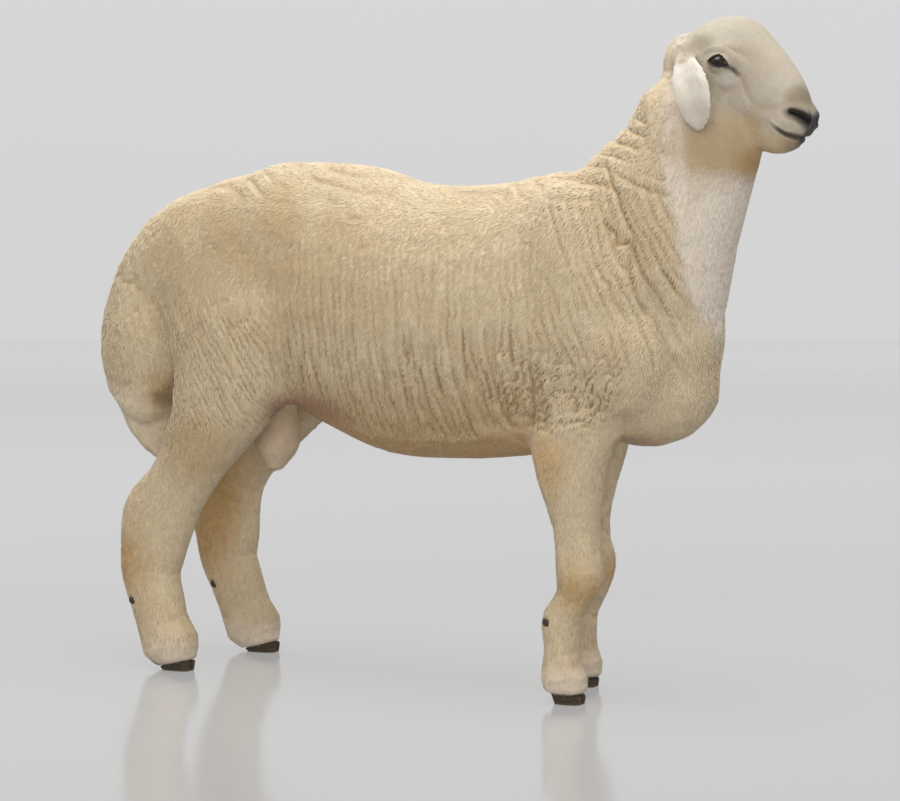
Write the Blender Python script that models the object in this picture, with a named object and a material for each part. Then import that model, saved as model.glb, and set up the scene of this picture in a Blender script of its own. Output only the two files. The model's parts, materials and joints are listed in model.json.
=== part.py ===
"""A shorn fat-tailed ram, standing still, at life size.

+X is forward, +Y is the ram's left, +Z is up, in metres. The flesh is laid up as overlapping forms, each a
loft through a few sections, and fused into one body. Thin cuts then part it into head, neck, trunk, tail,
scrotum and legs. Ears, eyes, claws and dewclaws are pieces of their own. The outer face of every solid is
the outside of the fleece or hair.
"""

import math

import bmesh
import bpy
import numpy as np
from mathutils import Matrix, Vector

# ---- How the flesh is laid up, fused and parted ----
RING_SIDES = 28  # corners of each section of a loft
RING_STEP = 0.012  # distance between the rings of a loft
DOME = 0.7  # how far the end of a loft stands out, as a share of the last section's half size
VOXEL = 0.0045  # cell in which the forms are fused
BLEND_PASSES = 44  # smoothing passes over the fused body, most of them felt by the trunk only
FLESH_TRIANGLES = 4500  # of the whole flesh, before it is parted
CUT = 0.0004  # width of the thin cuts between neighbours

# ---- Trunk: x, y, z of the section's centre, then up, down and half width ----
TRUNK = (
    (-0.460, 0.0, 0.600, 0.085, 0.070, 0.085),
    (-0.410, 0.0, 0.590, 0.146, 0.130, 0.124),
    (-0.330, 0.0, 0.570, 0.189, 0.160, 0.145),
    (-0.240, 0.0, 0.560, 0.207, 0.150, 0.144),
    (-0.140, 0.0, 0.545, 0.215, 0.180, 0.151),
    (-0.050, 0.0, 0.535, 0.202, 0.202, 0.160),
    (0.050, 0.0, 0.530, 0.202, 0.199, 0.163),
    (0.150, 0.0, 0.535, 0.206, 0.193, 0.153),
    (0.235, 0.0, 0.545, 0.208, 0.192, 0.140),
    (0.310, 0.0, 0.530, 0.185, 0.172, 0.128),
    (0.355, 0.0, 0.512, 0.142, 0.138, 0.110),
    (0.388, 0.0, 0.503, 0.086, 0.092, 0.070),
)

# ---- Neck, from inside the trunk up to the poll: nape side, throat side and half width ----
NECK = (
    (0.170, 0.0, 0.500, 0.090, 0.090, 0.080),
    (0.235, 0.0, 0.570, 0.118, 0.150, 0.112),
    (0.300, 0.0, 0.640, 0.128, 0.172, 0.108),
    (0.355, 0.0, 0.715, 0.118, 0.128, 0.094),
    (0.392, 0.0, 0.780, 0.095, 0.107, 0.080),
    (0.416, 0.0, 0.835, 0.090, 0.090, 0.074),
    (0.428, 0.0, 0.874, 0.063, 0.056, 0.060),
)

# ---- Head, on its own axis from the poll to the muzzle ----
POLL = Vector((0.405, 0.0, 0.900))
HEAD_PITCH = math.radians(28.0)  # below the level
SKULL = (  # along the axis, offset above it, up, down, half width
    (-0.024, 0.000, 0.040, 0.032, 0.040),
    (-0.012, 0.000, 0.060, 0.040, 0.050),
    (0.002, 0.000, 0.077, 0.048, 0.058),
    (0.020, 0.000, 0.089, 0.050, 0.062),
    (0.050, 0.000, 0.096, 0.045, 0.061),
    (0.085, 0.000, 0.087, 0.040, 0.050),
    (0.120, 0.000, 0.074, 0.036, 0.040),
    (0.155, 0.000, 0.055, 0.034, 0.034),
    (0.171, 0.000, 0.041, 0.031, 0.032),
    (0.180, 0.000, 0.025, 0.024, 0.024),
)
JAW = (
    (0.005, -0.020, 0.030, 0.034, 0.036),
    (0.045, -0.022, 0.030, 0.049, 0.044),
    (0.090, -0.022, 0.030, 0.046, 0.037),
    (0.135, -0.022, 0.026, 0.036, 0.029),
    (0.168, -0.020, 0.022, 0.030, 0.026),
    (0.181, -0.017, 0.014, 0.020, 0.017),
)
EYE_ALONG, EYE_ABOVE, EYE_OUT = 0.051, 0.0285, 0.0540
EYE_RADIUS = 0.0138

# ---- Legs: x, y, z, then front, back and half width. The y is the offset from the leg's own line ----
FORELEG = (
    (0.262, -0.006, 0.480, 0.066, 0.074, 0.048),
    (0.262, -0.004, 0.430, 0.064, 0.074, 0.048),
    (0.258, -0.001, 0.365, 0.055, 0.071, 0.044),
    (0.258, 0.000, 0.310, 0.043, 0.056, 0.039),
    (0.261, 0.000, 0.250, 0.035, 0.035, 0.034),
    (0.264, 0.000, 0.212, 0.034, 0.035, 0.033),
    (0.266, 0.000, 0.182, 0.037, 0.036, 0.034),
    (0.255, 0.000, 0.150, 0.026, 0.026, 0.028),
    (0.237, 0.000, 0.119, 0.028, 0.030, 0.030),
    (0.238, 0.000, 0.086, 0.025, 0.026, 0.029),
    (0.238, 0.000, 0.056, 0.028, 0.029, 0.032),
    (0.241, 0.000, 0.034, 0.035, 0.033, 0.037),
    (0.246, 0.000, 0.016, 0.031, 0.028, 0.032),
    (0.247, 0.000, 0.005, 0.022, 0.022, 0.024),
)
HINDLEG = (
    (-0.285, -0.020, 0.630, 0.085, 0.090, 0.060),
    (-0.288, -0.008, 0.540, 0.118, 0.118, 0.066),
    (-0.294, -0.002, 0.450, 0.096, 0.108, 0.062),
    (-0.322, 0.002, 0.385, 0.066, 0.084, 0.056),
    (-0.360, 0.002, 0.330, 0.054, 0.060, 0.046),
    (-0.396, 0.000, 0.280, 0.052, 0.052, 0.041),
    (-0.428, 0.000, 0.228, 0.058, 0.066, 0.039),
    (-0.440, 0.000, 0.185, 0.054, 0.058, 0.038),
    (-0.446, 0.000, 0.145, 0.048, 0.050, 0.036),
    (-0.436, 0.000, 0.105, 0.044, 0.044, 0.036),
    (-0.4245, 0.000, 0.065, 0.042, 0.042, 0.036),
    (-0.4105, 0.000, 0.034, 0.046, 0.046, 0.039),
    (-0.4060, 0.000, 0.016, 0.036, 0.036, 0.033),
    (-0.4060, 0.000, 0.005, 0.028, 0.028, 0.025),
)
# Where each leg stands: its table, its own line's y, and how far forward it is moved at these heights.
STANCE_HEIGHTS = (0.00, 0.10, 0.15, 0.20, 0.26, 0.34, 0.44, 0.60)
STANCE = {
    "foreleg_right": (FORELEG, -0.079, (0.0,) * 8),
    "foreleg_left": (FORELEG, 0.064, (-0.050, -0.042, -0.040, -0.057, -0.055, -0.042, -0.036, -0.030)),
    "hindleg_right": (HINDLEG, -0.102, (0.0,) * 8),
    "hindleg_left": (HINDLEG, 0.108, (0.018, 0.010, 0.003, -0.006, -0.030, -0.032, -0.018, 0.0)),
}

# ---- Masses over the bones: centre and half sizes, the right one, mirrored for the left ----
MASSES = (
    ("shoulder_blade", (0.225, -0.082, 0.590), (0.090, 0.058, 0.155), -14.0),
    ("shoulder_point", (0.318, -0.080, 0.500), (0.085, 0.055, 0.095), 0.0),
    ("hip", (-0.225, -0.075, 0.640), (0.085, 0.062, 0.085), 0.0),
)
BRISKET = ((0.338, 0.0, 0.445), (0.104, 0.084, 0.084), 8.0)
SHEATH = ((-0.080, 0.0, 0.360), (0.088, 0.024, 0.024), -3.0)

# ---- Fat tail, a pair of lobes over one core, hanging from the croup to the hocks ----
TAIL_CORE = (
    (-0.330, 0.0, 0.690, 0.060, 0.055, 0.105),
    (-0.425, 0.0, 0.640, 0.070, 0.066, 0.118),
    (-0.480, 0.0, 0.570, 0.080, 0.062, 0.120),
    (-0.497, 0.0, 0.480, 0.092, 0.048, 0.112),
    (-0.500, 0.0, 0.410, 0.080, 0.047, 0.090),
    (-0.500, 0.0, 0.360, 0.055, 0.040, 0.062),
    (-0.494, 0.0, 0.325, 0.030, 0.024, 0.036),
    (-0.488, 0.0, 0.307, 0.014, 0.012, 0.018),
)
TAIL_LOBE = ((-0.478, -0.068, 0.490), (0.074, 0.062, 0.125), 0.0)

# ---- Scrotum ----
SCROTUM = (
    (-0.285, 0.004, 0.440, 0.030, 0.030, 0.026),
    (-0.286, 0.004, 0.400, 0.029, 0.029, 0.029),
    (-0.287, 0.004, 0.360, 0.037, 0.037, 0.039),
    (-0.289, 0.004, 0.330, 0.036, 0.036, 0.040),
    (-0.290, 0.004, 0.305, 0.018, 0.018, 0.022),
)

# ---- Ears: x, y, z, then half width, half thickness and how far the edges turn in. The right one ----
EAR = (
    (0.413, -0.044, 0.911, 0.014, 0.0125, 0.000),
    (0.419, -0.063, 0.910, 0.017, 0.0095, 0.001),
    (0.425, -0.078, 0.901, 0.020, 0.0065, 0.003),
    (0.431, -0.087, 0.884, 0.027, 0.0048, 0.005),
    (0.442, -0.092, 0.862, 0.035, 0.0040, 0.007),
    (0.448, -0.093, 0.839, 0.029, 0.0036, 0.006),
    (0.450, -0.092, 0.821, 0.018, 0.0032, 0.003),
    (0.451, -0.090, 0.809, 0.007, 0.0026, 0.000),
)
EAR_ACROSS = (0.97, -0.22, 0.0)
EAR_SIDES = 14

# ---- Claws: heel and toe from the foot's own line, width of one claw, height in front and at the heel ----
FORE_CLAW = (-0.022, 0.026, 0.0225, 0.013, 0.017)
HIND_CLAW = (-0.020, 0.034, 0.0225, 0.017, 0.005)
CLEFT = 0.003
CLAW_FOOTING = (0.74, 0.94, 0.86)  # what the sole keeps of the heel, the toe and the width of a claw's top
CLAW_SIDES = 10
TOE_OUT = math.radians(4.0)
# ---- Dewclaws: x, distance from the leg's own line and z, then their half sizes ----
FORE_DEWCLAW = (0.2240, 0.0245, 0.117)
HIND_DEWCLAW = (-0.4640, 0.0265, 0.104)
DEWCLAW_SIZES = (0.0060, 0.0056, 0.0078)

# ---- Where the flesh is parted: (x, z) of a point and (x, z) of the normal pointing into the node ----
HEAD_LINE = ((0.375, 0.935), (0.861, 0.508))
NECK_LINE = ((0.235, 0.770), (0.663, 0.748))
TAIL_LINES = (
    ((-0.427, 0.430), (-1.0, -0.10)),
    ((-0.427, 0.430), (-0.94, 0.34)),
    ((-0.470, 0.285), (0.0, 1.0)),
)
TAIL_RIGHT = ((0.0, -0.045, 0.300), (0.0, 1.0, 0.7))
TAIL_LEFT = ((0.0, 0.045, 0.300), (0.0, -1.0, 0.7))
SCROTUM_LINES = (
    ((-0.287, 0.388), (0.0, -1.0)),
    ((-0.225, 0.340), (-1.0, 0.0)),
    ((-0.336, 0.340), (1.0, 0.0)),
)
SCROTUM_ROOM = 0.0452
FORELEG_LINES = (
    ((0.230, 0.400), (0.10, -1.0)),
    ((0.142, 0.400), (1.0, 0.0)),
    ((0.335, 0.380), (-1.0, -0.45)),
)
FORELEG_INNER = 0.024
HINDLEG_LINES = (
    ((-0.290, 0.500), (-0.20, -1.0)),
    ((-0.205, 0.450), (-1.0, 0.20)),
)
HINDLEG_INNER = 0.0485


def clear_scene():
    for obj in list(bpy.data.objects):
        bpy.data.objects.remove(obj)


def add_object(name, mesh):
    obj = bpy.data.objects.new(name, mesh)
    bpy.context.scene.collection.objects.link(obj)
    return obj


def material(name, colour, roughness):
    made = bpy.data.materials.get(name) or bpy.data.materials.new(name)
    made.use_nodes = True
    shader = made.node_tree.nodes["Principled BSDF"]
    shader.inputs["Base Color"].default_value = (*colour, 1.0)
    shader.inputs["Roughness"].default_value = roughness
    return made


def smooth_rows(rows, step=RING_STEP):
    """The rows of a section table with more between them, on a smooth curve through all of them."""
    rows = np.array(rows, float)
    gaps = np.linalg.norm(np.diff(rows[:, :3], axis=0), axis=1)
    along = np.concatenate([[0.0], np.cumsum(gaps)])
    slopes = np.gradient(rows, along, axis=0)
    at = np.linspace(0.0, along[-1], max(2, round(along[-1] / step)) + 1)
    i = np.clip(np.searchsorted(along, at, side="right") - 1, 0, len(rows) - 2)
    width = (along[i + 1] - along[i])[:, None]
    t = (at - along[i])[:, None] / width
    start, end = rows[i], rows[i + 1]
    leave, arrive = slopes[i] * width, slopes[i + 1] * width
    return (
        (2 * t**3 - 3 * t**2 + 1) * start
        + (t**3 - 2 * t**2 + t) * leave
        + (3 * t**2 - 2 * t**3) * end
        + (t**3 - t**2) * arrive
    )


def round_ends(rows, paths):
    """The rows with a few more beyond each end, which close it as a dome."""
    for end in (0, -1):
        row, way = rows[end], paths[end] / np.linalg.norm(paths[end])
        depth = DOME * row[3:].mean() * (-1.0 if end == 0 else 1.0)
        dome = []
        for angle in np.radians([25.0, 50.0, 72.0]):
            place = row[:3] + way * depth * math.sin(angle)
            dome.append(np.concatenate([place, row[3:] * math.cos(angle)]))
        if end == 0:
            rows = np.vstack([dome[::-1], rows])
            paths = np.vstack([[paths[0]] * 3, paths])
        else:
            rows = np.vstack([rows, dome])
            paths = np.vstack([paths, [paths[-1]] * 3])
    return rows, paths


def loft(rows, squareness=2.2):
    """A closed tube through sections, each square to the path, with one half height above the path's line and
    another below it. On a path that goes down, above means in front."""
    rows = smooth_rows(rows)
    rows, paths = round_ends(rows, np.gradient(rows[:, :3], axis=0))
    work = bmesh.new()
    rings = []
    for row, path in zip(rows, paths):
        forward = Vector((path[0], 0.0, path[2])).normalized()
        side = Vector((0.0, 1.0, 0.0))
        up = forward.cross(side)
        ring = []
        for k in range(RING_SIDES):
            angle = 2 * math.pi * k / RING_SIDES
            across, rise = math.cos(angle), math.sin(angle)
            across = math.copysign(abs(across) ** (2 / squareness), across) * row[5]
            rise = math.copysign(abs(rise) ** (2 / squareness), rise) * (row[3] if rise > 0 else row[4])
            ring.append(work.verts.new(Vector(row[:3]) + side * across + up * rise))
        rings.append(ring)
    for a, b in zip(rings, rings[1:]):
        for k in range(RING_SIDES):
            n = (k + 1) % RING_SIDES
            work.faces.new((a[k], a[n], b[n], b[k]))
    work.faces.new(rings[0][::-1])
    work.faces.new(rings[-1])
    bmesh.ops.recalc_face_normals(work, faces=work.faces)
    mesh = bpy.data.meshes.new("loft")
    work.to_mesh(mesh)
    work.free()
    return mesh


def ellipsoid(centre, half_sizes, pitch_deg, mirrored=False):
    """A rounded mass. A positive pitch tips its front up."""
    work = bmesh.new()
    bmesh.ops.create_uvsphere(work, u_segments=24, v_segments=16, radius=1.0)
    centre = Vector(centre)
    if mirrored:
        centre.y *= -1.0
    place = Matrix.Translation(centre) @ Matrix.Rotation(-math.radians(pitch_deg), 4, "Y")
    place = place @ Matrix.Diagonal((*half_sizes, 1.0))
    bmesh.ops.transform(work, matrix=place, verts=work.verts)
    mesh = bpy.data.meshes.new("mass")
    work.to_mesh(mesh)
    work.free()
    return mesh


def on_head(along, above, out=0.0):
    """A point of the head, from its place along the head's axis, above the axis and out to the left."""
    down, level = math.sin(HEAD_PITCH), math.cos(HEAD_PITCH)
    return POLL + Vector((along * level + above * down, out, above * level - along * down))


def head_rows(table):
    return [(*on_head(along, above), up, down, width) for along, above, up, down, width in table]


def leg_rows(name):
    """A leg's sections where it stands: the y from its own line, the x moved forward as its stance says."""
    table, line, moves = STANCE[name]
    outward = math.copysign(1.0, line)
    return [
        (x + float(np.interp(z, STANCE_HEIGHTS, moves)), line + outward * out, z, front, back, width)
        for x, out, z, front, back, width in table
    ]


def flesh_forms():
    """Every form of the flesh, overlapping its neighbours."""
    forms = [loft(TRUNK, 2.3), loft(NECK, 2.2), loft(head_rows(SKULL), 2.3), loft(head_rows(JAW), 2.4)]
    forms += [loft(leg_rows(name), 2.2) for name in STANCE]
    forms += [loft(TAIL_CORE, 2.3), loft(SCROTUM, 2.0)]
    forms += [ellipsoid(*BRISKET), ellipsoid(*SHEATH)]
    for mirrored in (False, True):
        forms += [ellipsoid(centre, sizes, pitch, mirrored) for _, centre, sizes, pitch in MASSES]
        forms.append(ellipsoid(*TAIL_LOBE, mirrored))
        side = 1.0 if mirrored else -1.0
        pitch = -math.degrees(HEAD_PITCH)
        forms.append(ellipsoid(on_head(0.051, 0.037, side * 0.044), (0.030, 0.020, 0.025), pitch))
        forms.append(ellipsoid(on_head(0.045, -0.012, side * 0.026), (0.048, 0.026, 0.044), pitch))
        forms.append(ellipsoid(on_head(0.172, 0.008, side * 0.014), (0.026, 0.022, 0.026), pitch))
        forms.append(ellipsoid(on_head(0.000, 0.012, side * 0.047), (0.028, 0.021, 0.025), pitch))
    return forms


def evaluated(obj, name):
    """A new object holding what obj's modifiers make of it. The old one is removed."""
    graph = bpy.context.evaluated_depsgraph_get()
    mesh = bpy.data.meshes.new_from_object(obj.evaluated_get(graph), depsgraph=graph)
    bpy.data.objects.remove(obj)
    return add_object(name, mesh)


def joined(forms, name):
    work = bmesh.new()
    for form in forms:
        work.from_mesh(form)
    mesh = bpy.data.meshes.new(name)
    work.to_mesh(mesh)
    work.free()
    return add_object(name, mesh)


def copy_of(obj, name):
    return add_object(name, obj.data.copy())


def weigh(obj, name, weight_at):
    """A vertex group whose weights weight_at gives from an array of points."""
    group = obj.vertex_groups.new(name=name)
    points = np.empty(len(obj.data.vertices) * 3)
    obj.data.vertices.foreach_get("co", points)
    for index, weight in enumerate(weight_at(points.reshape(-1, 3))):
        group.add([index], float(weight), "REPLACE")


def ramp(values, start, end):
    return np.clip((values - start) / (end - start), 0.0, 1.0)


def bulk(points):
    """1 on the trunk, where forms melt into each other, falling to little on the head and the lower legs."""
    x, _, z = points.T
    ahead = (x - HEAD_LINE[0][0]) * HEAD_LINE[1][0] + (z - HEAD_LINE[0][1]) * HEAD_LINE[1][1]
    return 0.2 + 0.8 * ramp(z, 0.20, 0.40) * (1.0 - ramp(ahead, -0.06, 0.01))


def plain(points):
    """1 where the surface is broad and plain enough for large triangles."""
    return np.maximum(bulk(points), 0.55 * (points[:, 0] < 0.32))


def fused_flesh():
    body = joined(flesh_forms(), "flesh")
    remesh = body.modifiers.new("Fuse", "REMESH")
    remesh.mode = "VOXEL"
    remesh.voxel_size = VOXEL
    body = evaluated(body, "flesh")
    weigh(body, "bulk", bulk)
    weigh(body, "plain", plain)
    smooth = body.modifiers.new("Blend", "SMOOTH")
    smooth.factor = 0.6
    smooth.iterations = BLEND_PASSES
    smooth.vertex_group = "bulk"
    reduce = body.modifiers.new("Reduce", "DECIMATE")
    reduce.ratio = FLESH_TRIANGLES / (2 * len(body.data.polygons))
    reduce.vertex_group = "plain"
    reduce.vertex_group_factor = 0.10
    reduce.use_collapse_triangulate = True
    return evaluated(body, "flesh")


def region(name, planes, grow=0.0):
    """A closed block holding whatever lies on the far side of every plane. Each is a point and a normal."""
    work = bmesh.new()
    bmesh.ops.create_cube(work, size=4.0)
    for point, normal in planes:
        normal = Vector(normal).normalized()
        cut = bmesh.ops.bisect_plane(
            work,
            geom=work.verts[:] + work.edges[:] + work.faces[:],
            plane_co=Vector(point) - normal * grow,
            plane_no=normal,
            clear_inner=True,
        )
        rim = [e for e in cut["geom_cut"] if isinstance(e, bmesh.types.BMEdge)]
        bmesh.ops.contextual_create(work, geom=rim)
    bmesh.ops.recalc_face_normals(work, faces=work.faces)
    mesh = bpy.data.meshes.new(name)
    work.to_mesh(mesh)
    work.free()
    return add_object(name, mesh)


def combine(obj, tool, operation):
    """obj joined with, cut by or kept inside tool, which is used up."""
    name = obj.name
    boolean = obj.modifiers.new(operation, "BOOLEAN")
    boolean.operation = operation
    boolean.solver = "EXACT"
    boolean.object = tool
    obj = evaluated(obj, name)
    bpy.data.objects.remove(tool)
    obj.name = name
    return obj


def facing(line):
    """A plane square to the ram's own middle plane, from its (x, z) point and (x, z) normal."""
    (x, z), (nx, nz) = line
    return (x, 0.0, z), (nx, 0.0, nz)


def side_planes(side, inner):
    return [((0.0, side * inner, 0.0), (0.0, side, 0.0))]


def regions():
    """Each node cut from the flesh, in the order of the cuts, with the planes that bound it. The rest is trunk."""
    found = {
        "head": [facing(HEAD_LINE)],
        "neck": [facing(NECK_LINE)],
        "tail": [facing(line) for line in TAIL_LINES] + [TAIL_RIGHT, TAIL_LEFT],
        "scrotum": [facing(line) for line in SCROTUM_LINES]
        + [((0.0, -SCROTUM_ROOM, 0.0), (0.0, 1.0, 0.0)), ((0.0, SCROTUM_ROOM, 0.0), (0.0, -1.0, 0.0))],
    }
    for side, word in ((-1.0, "right"), (1.0, "left")):
        found[f"foreleg_{word}"] = [facing(line) for line in FORELEG_LINES] + side_planes(side, FORELEG_INNER)
        found[f"hindleg_{word}"] = [facing(line) for line in HINDLEG_LINES] + side_planes(side, HINDLEG_INNER)
    return found


def parted(flesh):
    """The flesh parted by thin cuts: a dictionary from node name to object."""
    nodes = {}
    rest = flesh
    for name, planes in regions().items():
        nodes[name] = combine(copy_of(rest, name), region("keep", planes), "INTERSECT")
        rest = combine(rest, region("drop", planes, CUT), "DIFFERENCE")
    rest.name = "trunk"
    nodes["trunk"] = rest
    return nodes


def ball(name, centre, radius, across=16, down=10):
    work = bmesh.new()
    bmesh.ops.create_uvsphere(work, u_segments=across, v_segments=down, radius=radius)
    turn = Matrix.Rotation(math.pi / 2, 4, "X")
    bmesh.ops.transform(work, matrix=Matrix.Translation(centre) @ turn, verts=work.verts)
    mesh = bpy.data.meshes.new(name)
    work.to_mesh(mesh)
    work.free()
    return add_object(name, mesh)


def make_eye(nodes, word, side):
    """The ball of the eye, in a socket cut from the head."""
    centre = on_head(EYE_ALONG, EYE_ABOVE, side * EYE_OUT)
    nodes["head"] = combine(nodes["head"], ball("socket", centre, EYE_RADIUS + CUT), "DIFFERENCE")
    nodes[f"eye_{word}"] = ball(f"eye_{word}", centre, EYE_RADIUS)


def make_ear(nodes, flesh, word, side):
    """A hanging leaf with its edges turned in, on a short stalk that meets the side of the head."""
    rows = np.array(EAR, float)
    rows = smooth_rows(rows, 0.011)
    paths = np.gradient(rows[:, :3], axis=0)
    work = bmesh.new()
    rings = []
    for row, path in zip(rows, paths):
        down = Vector(path).normalized()
        across = Vector(EAR_ACROSS)
        across = (across - down * across.dot(down)).normalized()
        out = across.cross(down)
        ring = []
        for k in range(EAR_SIDES):
            angle = 2 * math.pi * k / EAR_SIDES
            v = math.cos(angle)
            place = Vector(row[:3]) + across * (v * row[3]) + out * (math.sin(angle) * row[4] - row[5] * v * v)
            ring.append(work.verts.new((place.x, -side * place.y, place.z)))
        rings.append(ring)
    for a, b in zip(rings, rings[1:]):
        for k in range(EAR_SIDES):
            n = (k + 1) % EAR_SIDES
            work.faces.new((a[k], a[n], b[n], b[k]))
    work.faces.new(rings[0][::-1])
    work.faces.new(rings[-1])
    bmesh.ops.recalc_face_normals(work, faces=work.faces)
    mesh = bpy.data.meshes.new(f"ear_{word}")
    work.to_mesh(mesh)
    work.free()
    ear = add_object(f"ear_{word}", mesh)
    room = copy_of(flesh, "room")
    swell = room.modifiers.new("Swell", "DISPLACE")
    swell.strength = CUT
    swell.mid_level = 0.0
    room = evaluated(room, "room")
    nodes[f"ear_{word}"] = combine(ear, room, "DIFFERENCE")


def claw_mesh(name, foot, side):
    """One claw: flat below, where it is smallest, blunt in front, its inner wall straight."""
    heel, toe, width, front_height, heel_height = foot
    outline = []
    for k in range(CLAW_SIDES + 1):
        t = k / CLAW_SIDES
        along = heel + (toe - heel) * (0.5 - 0.5 * math.cos(math.pi * t))
        out = CLEFT / 2 + width * math.sin(math.pi * t) ** 0.55 * (1.0 - 0.30 * t)
        outline.append((along, out))
    outline += [(toe - 0.004, CLEFT / 2), (heel + 0.004, CLEFT / 2)]
    work = bmesh.new()
    low, top = [], []
    for x, y in outline:
        height = heel_height + (front_height - heel_height) * (x - heel) / (toe - heel)
        top.append(work.verts.new((x, side * y, height)))
        kept = CLAW_FOOTING[0] if x < 0.0 else CLAW_FOOTING[1]
        low.append(work.verts.new((x * kept, side * (CLEFT / 2 + (y - CLEFT / 2) * CLAW_FOOTING[2]), 0.0)))
    count = len(outline)
    for k in range(count):
        n = (k + 1) % count
        work.faces.new((low[k], low[n], top[n], top[k]))
    work.faces.new(low[::-1])
    work.faces.new(top)
    bmesh.ops.triangulate(work, faces=work.faces[:])
    bmesh.ops.recalc_face_normals(work, faces=work.faces)
    mesh = bpy.data.meshes.new(name)
    work.to_mesh(mesh)
    work.free()
    return mesh


def make_foot(nodes, leg):
    """Cuts the leg off above its claws, then adds two claws below it and two dewclaws behind the fetlock."""
    table, line, moves = STANCE[leg]
    fore = leg.startswith("fore")
    foot = FORE_CLAW if fore else HIND_CLAW
    heel, toe, _, front_height, heel_height = foot
    outward = math.copysign(1.0, line)
    turn = Matrix.Rotation(outward * TOE_OUT, 4, "Z")
    place = Matrix.Translation((table[-1][0] + moves[0], line, 0.0)) @ turn
    slope = (front_height - heel_height) / (toe - heel)
    normal = place.to_3x3() @ Vector((-slope, 0.0, 1.0))
    point = place @ Vector((heel, 0.0, heel_height + CUT))
    nodes[leg] = combine(nodes[leg], region("sole", [(point, normal)]), "INTERSECT")
    for name, side in (("inner", -outward), ("outer", outward)):
        claw = f"{leg.replace('leg', 'claw')}_{name}"
        mesh = claw_mesh(claw, foot, side)
        mesh.transform(place)
        nodes[claw] = add_object(claw, mesh)
        nodes[claw.replace("claw", "dewclaw")] = make_dewclaw(nodes, leg, name, side, fore, line, moves)


def make_dewclaw(nodes, leg, word, side, fore, line, moves):
    """A small blunt cone behind the fetlock, standing out of the hair."""
    x, out, z = FORE_DEWCLAW if fore else HIND_DEWCLAW
    centre = (x + float(np.interp(z, STANCE_HEIGHTS, moves)), line + side * out, z)
    name = f"{leg.replace('leg', 'dewclaw')}_{word}"
    made = []
    for extra in (0.0, CUT):
        work = bmesh.new()
        bmesh.ops.create_uvsphere(work, u_segments=8, v_segments=6, radius=1.0)
        sizes = [size + extra for size in DEWCLAW_SIZES]
        place = Matrix.Translation(centre) @ Matrix.Rotation(math.radians(-25.0), 4, "Y")
        bmesh.ops.transform(work, matrix=place @ Matrix.Diagonal((*sizes, 1.0)), verts=work.verts)
        mesh = bpy.data.meshes.new(name)
        work.to_mesh(mesh)
        work.free()
        made.append(add_object(name if extra == 0.0 else "room", mesh))
    nodes[leg] = combine(nodes[leg], made[1], "DIFFERENCE")
    return made[0]


def stand_at_origin(nodes):
    """Moves every node so that the middle of the bottom of the whole ram's box is the origin."""
    points = np.concatenate([np.array([v.co for v in obj.data.vertices]) for obj in nodes.values()])
    low, high = points.min(axis=0), points.max(axis=0)
    shift = Vector((-(low[0] + high[0]) / 2, -(low[1] + high[1]) / 2, -low[2]))
    for obj in nodes.values():
        obj.data.transform(Matrix.Translation(shift))
    print("moved by", [round(value, 5) for value in shift], "size", [round(v, 4) for v in high - low])


def paint(nodes):
    wool = material("wool", (0.56, 0.45, 0.30), 0.95)
    hair = material("short_hair", (0.58, 0.50, 0.40), 0.85)
    horn = material("claw_horn", (0.035, 0.026, 0.018), 0.6)
    eye = material("eye", (0.012, 0.009, 0.006), 0.15)
    for name, obj in nodes.items():
        if "claw" in name:
            chosen = horn
        elif name.startswith("eye"):
            chosen = eye
        elif name in ("trunk", "neck", "tail"):
            chosen = wool
        else:
            chosen = hair
        obj.data.materials.clear()
        obj.data.materials.append(chosen)


def build():
    clear_scene()
    flesh = fused_flesh()
    spare = copy_of(flesh, "spare")
    nodes = parted(flesh)
    for word, side in (("right", -1.0), ("left", 1.0)):
        make_ear(nodes, spare, word, side)
        make_eye(nodes, word, side)
    bpy.data.objects.remove(spare)
    for leg in STANCE:
        make_foot(nodes, leg)
    stand_at_origin(nodes)
    paint(nodes)


build()
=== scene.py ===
import json
import math

import bmesh
import bpy
import numpy as np
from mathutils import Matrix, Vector

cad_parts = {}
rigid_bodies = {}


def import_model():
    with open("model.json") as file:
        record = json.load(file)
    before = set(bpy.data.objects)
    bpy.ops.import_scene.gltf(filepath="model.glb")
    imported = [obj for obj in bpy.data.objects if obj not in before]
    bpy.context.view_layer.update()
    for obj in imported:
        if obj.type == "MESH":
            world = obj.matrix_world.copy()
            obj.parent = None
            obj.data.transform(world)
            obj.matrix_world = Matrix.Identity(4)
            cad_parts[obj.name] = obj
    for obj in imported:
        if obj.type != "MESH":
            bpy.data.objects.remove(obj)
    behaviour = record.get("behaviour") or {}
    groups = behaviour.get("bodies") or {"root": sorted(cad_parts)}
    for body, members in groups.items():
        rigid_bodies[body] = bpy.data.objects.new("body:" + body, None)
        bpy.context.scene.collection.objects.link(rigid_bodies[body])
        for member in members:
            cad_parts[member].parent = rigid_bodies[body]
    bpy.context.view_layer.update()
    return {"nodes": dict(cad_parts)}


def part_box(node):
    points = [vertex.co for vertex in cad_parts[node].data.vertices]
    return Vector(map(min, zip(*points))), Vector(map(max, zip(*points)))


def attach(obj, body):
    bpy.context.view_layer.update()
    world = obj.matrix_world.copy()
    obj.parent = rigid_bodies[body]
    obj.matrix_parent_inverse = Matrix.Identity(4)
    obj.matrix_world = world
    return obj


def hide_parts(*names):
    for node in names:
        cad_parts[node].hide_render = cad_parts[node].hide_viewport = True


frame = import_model()

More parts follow.
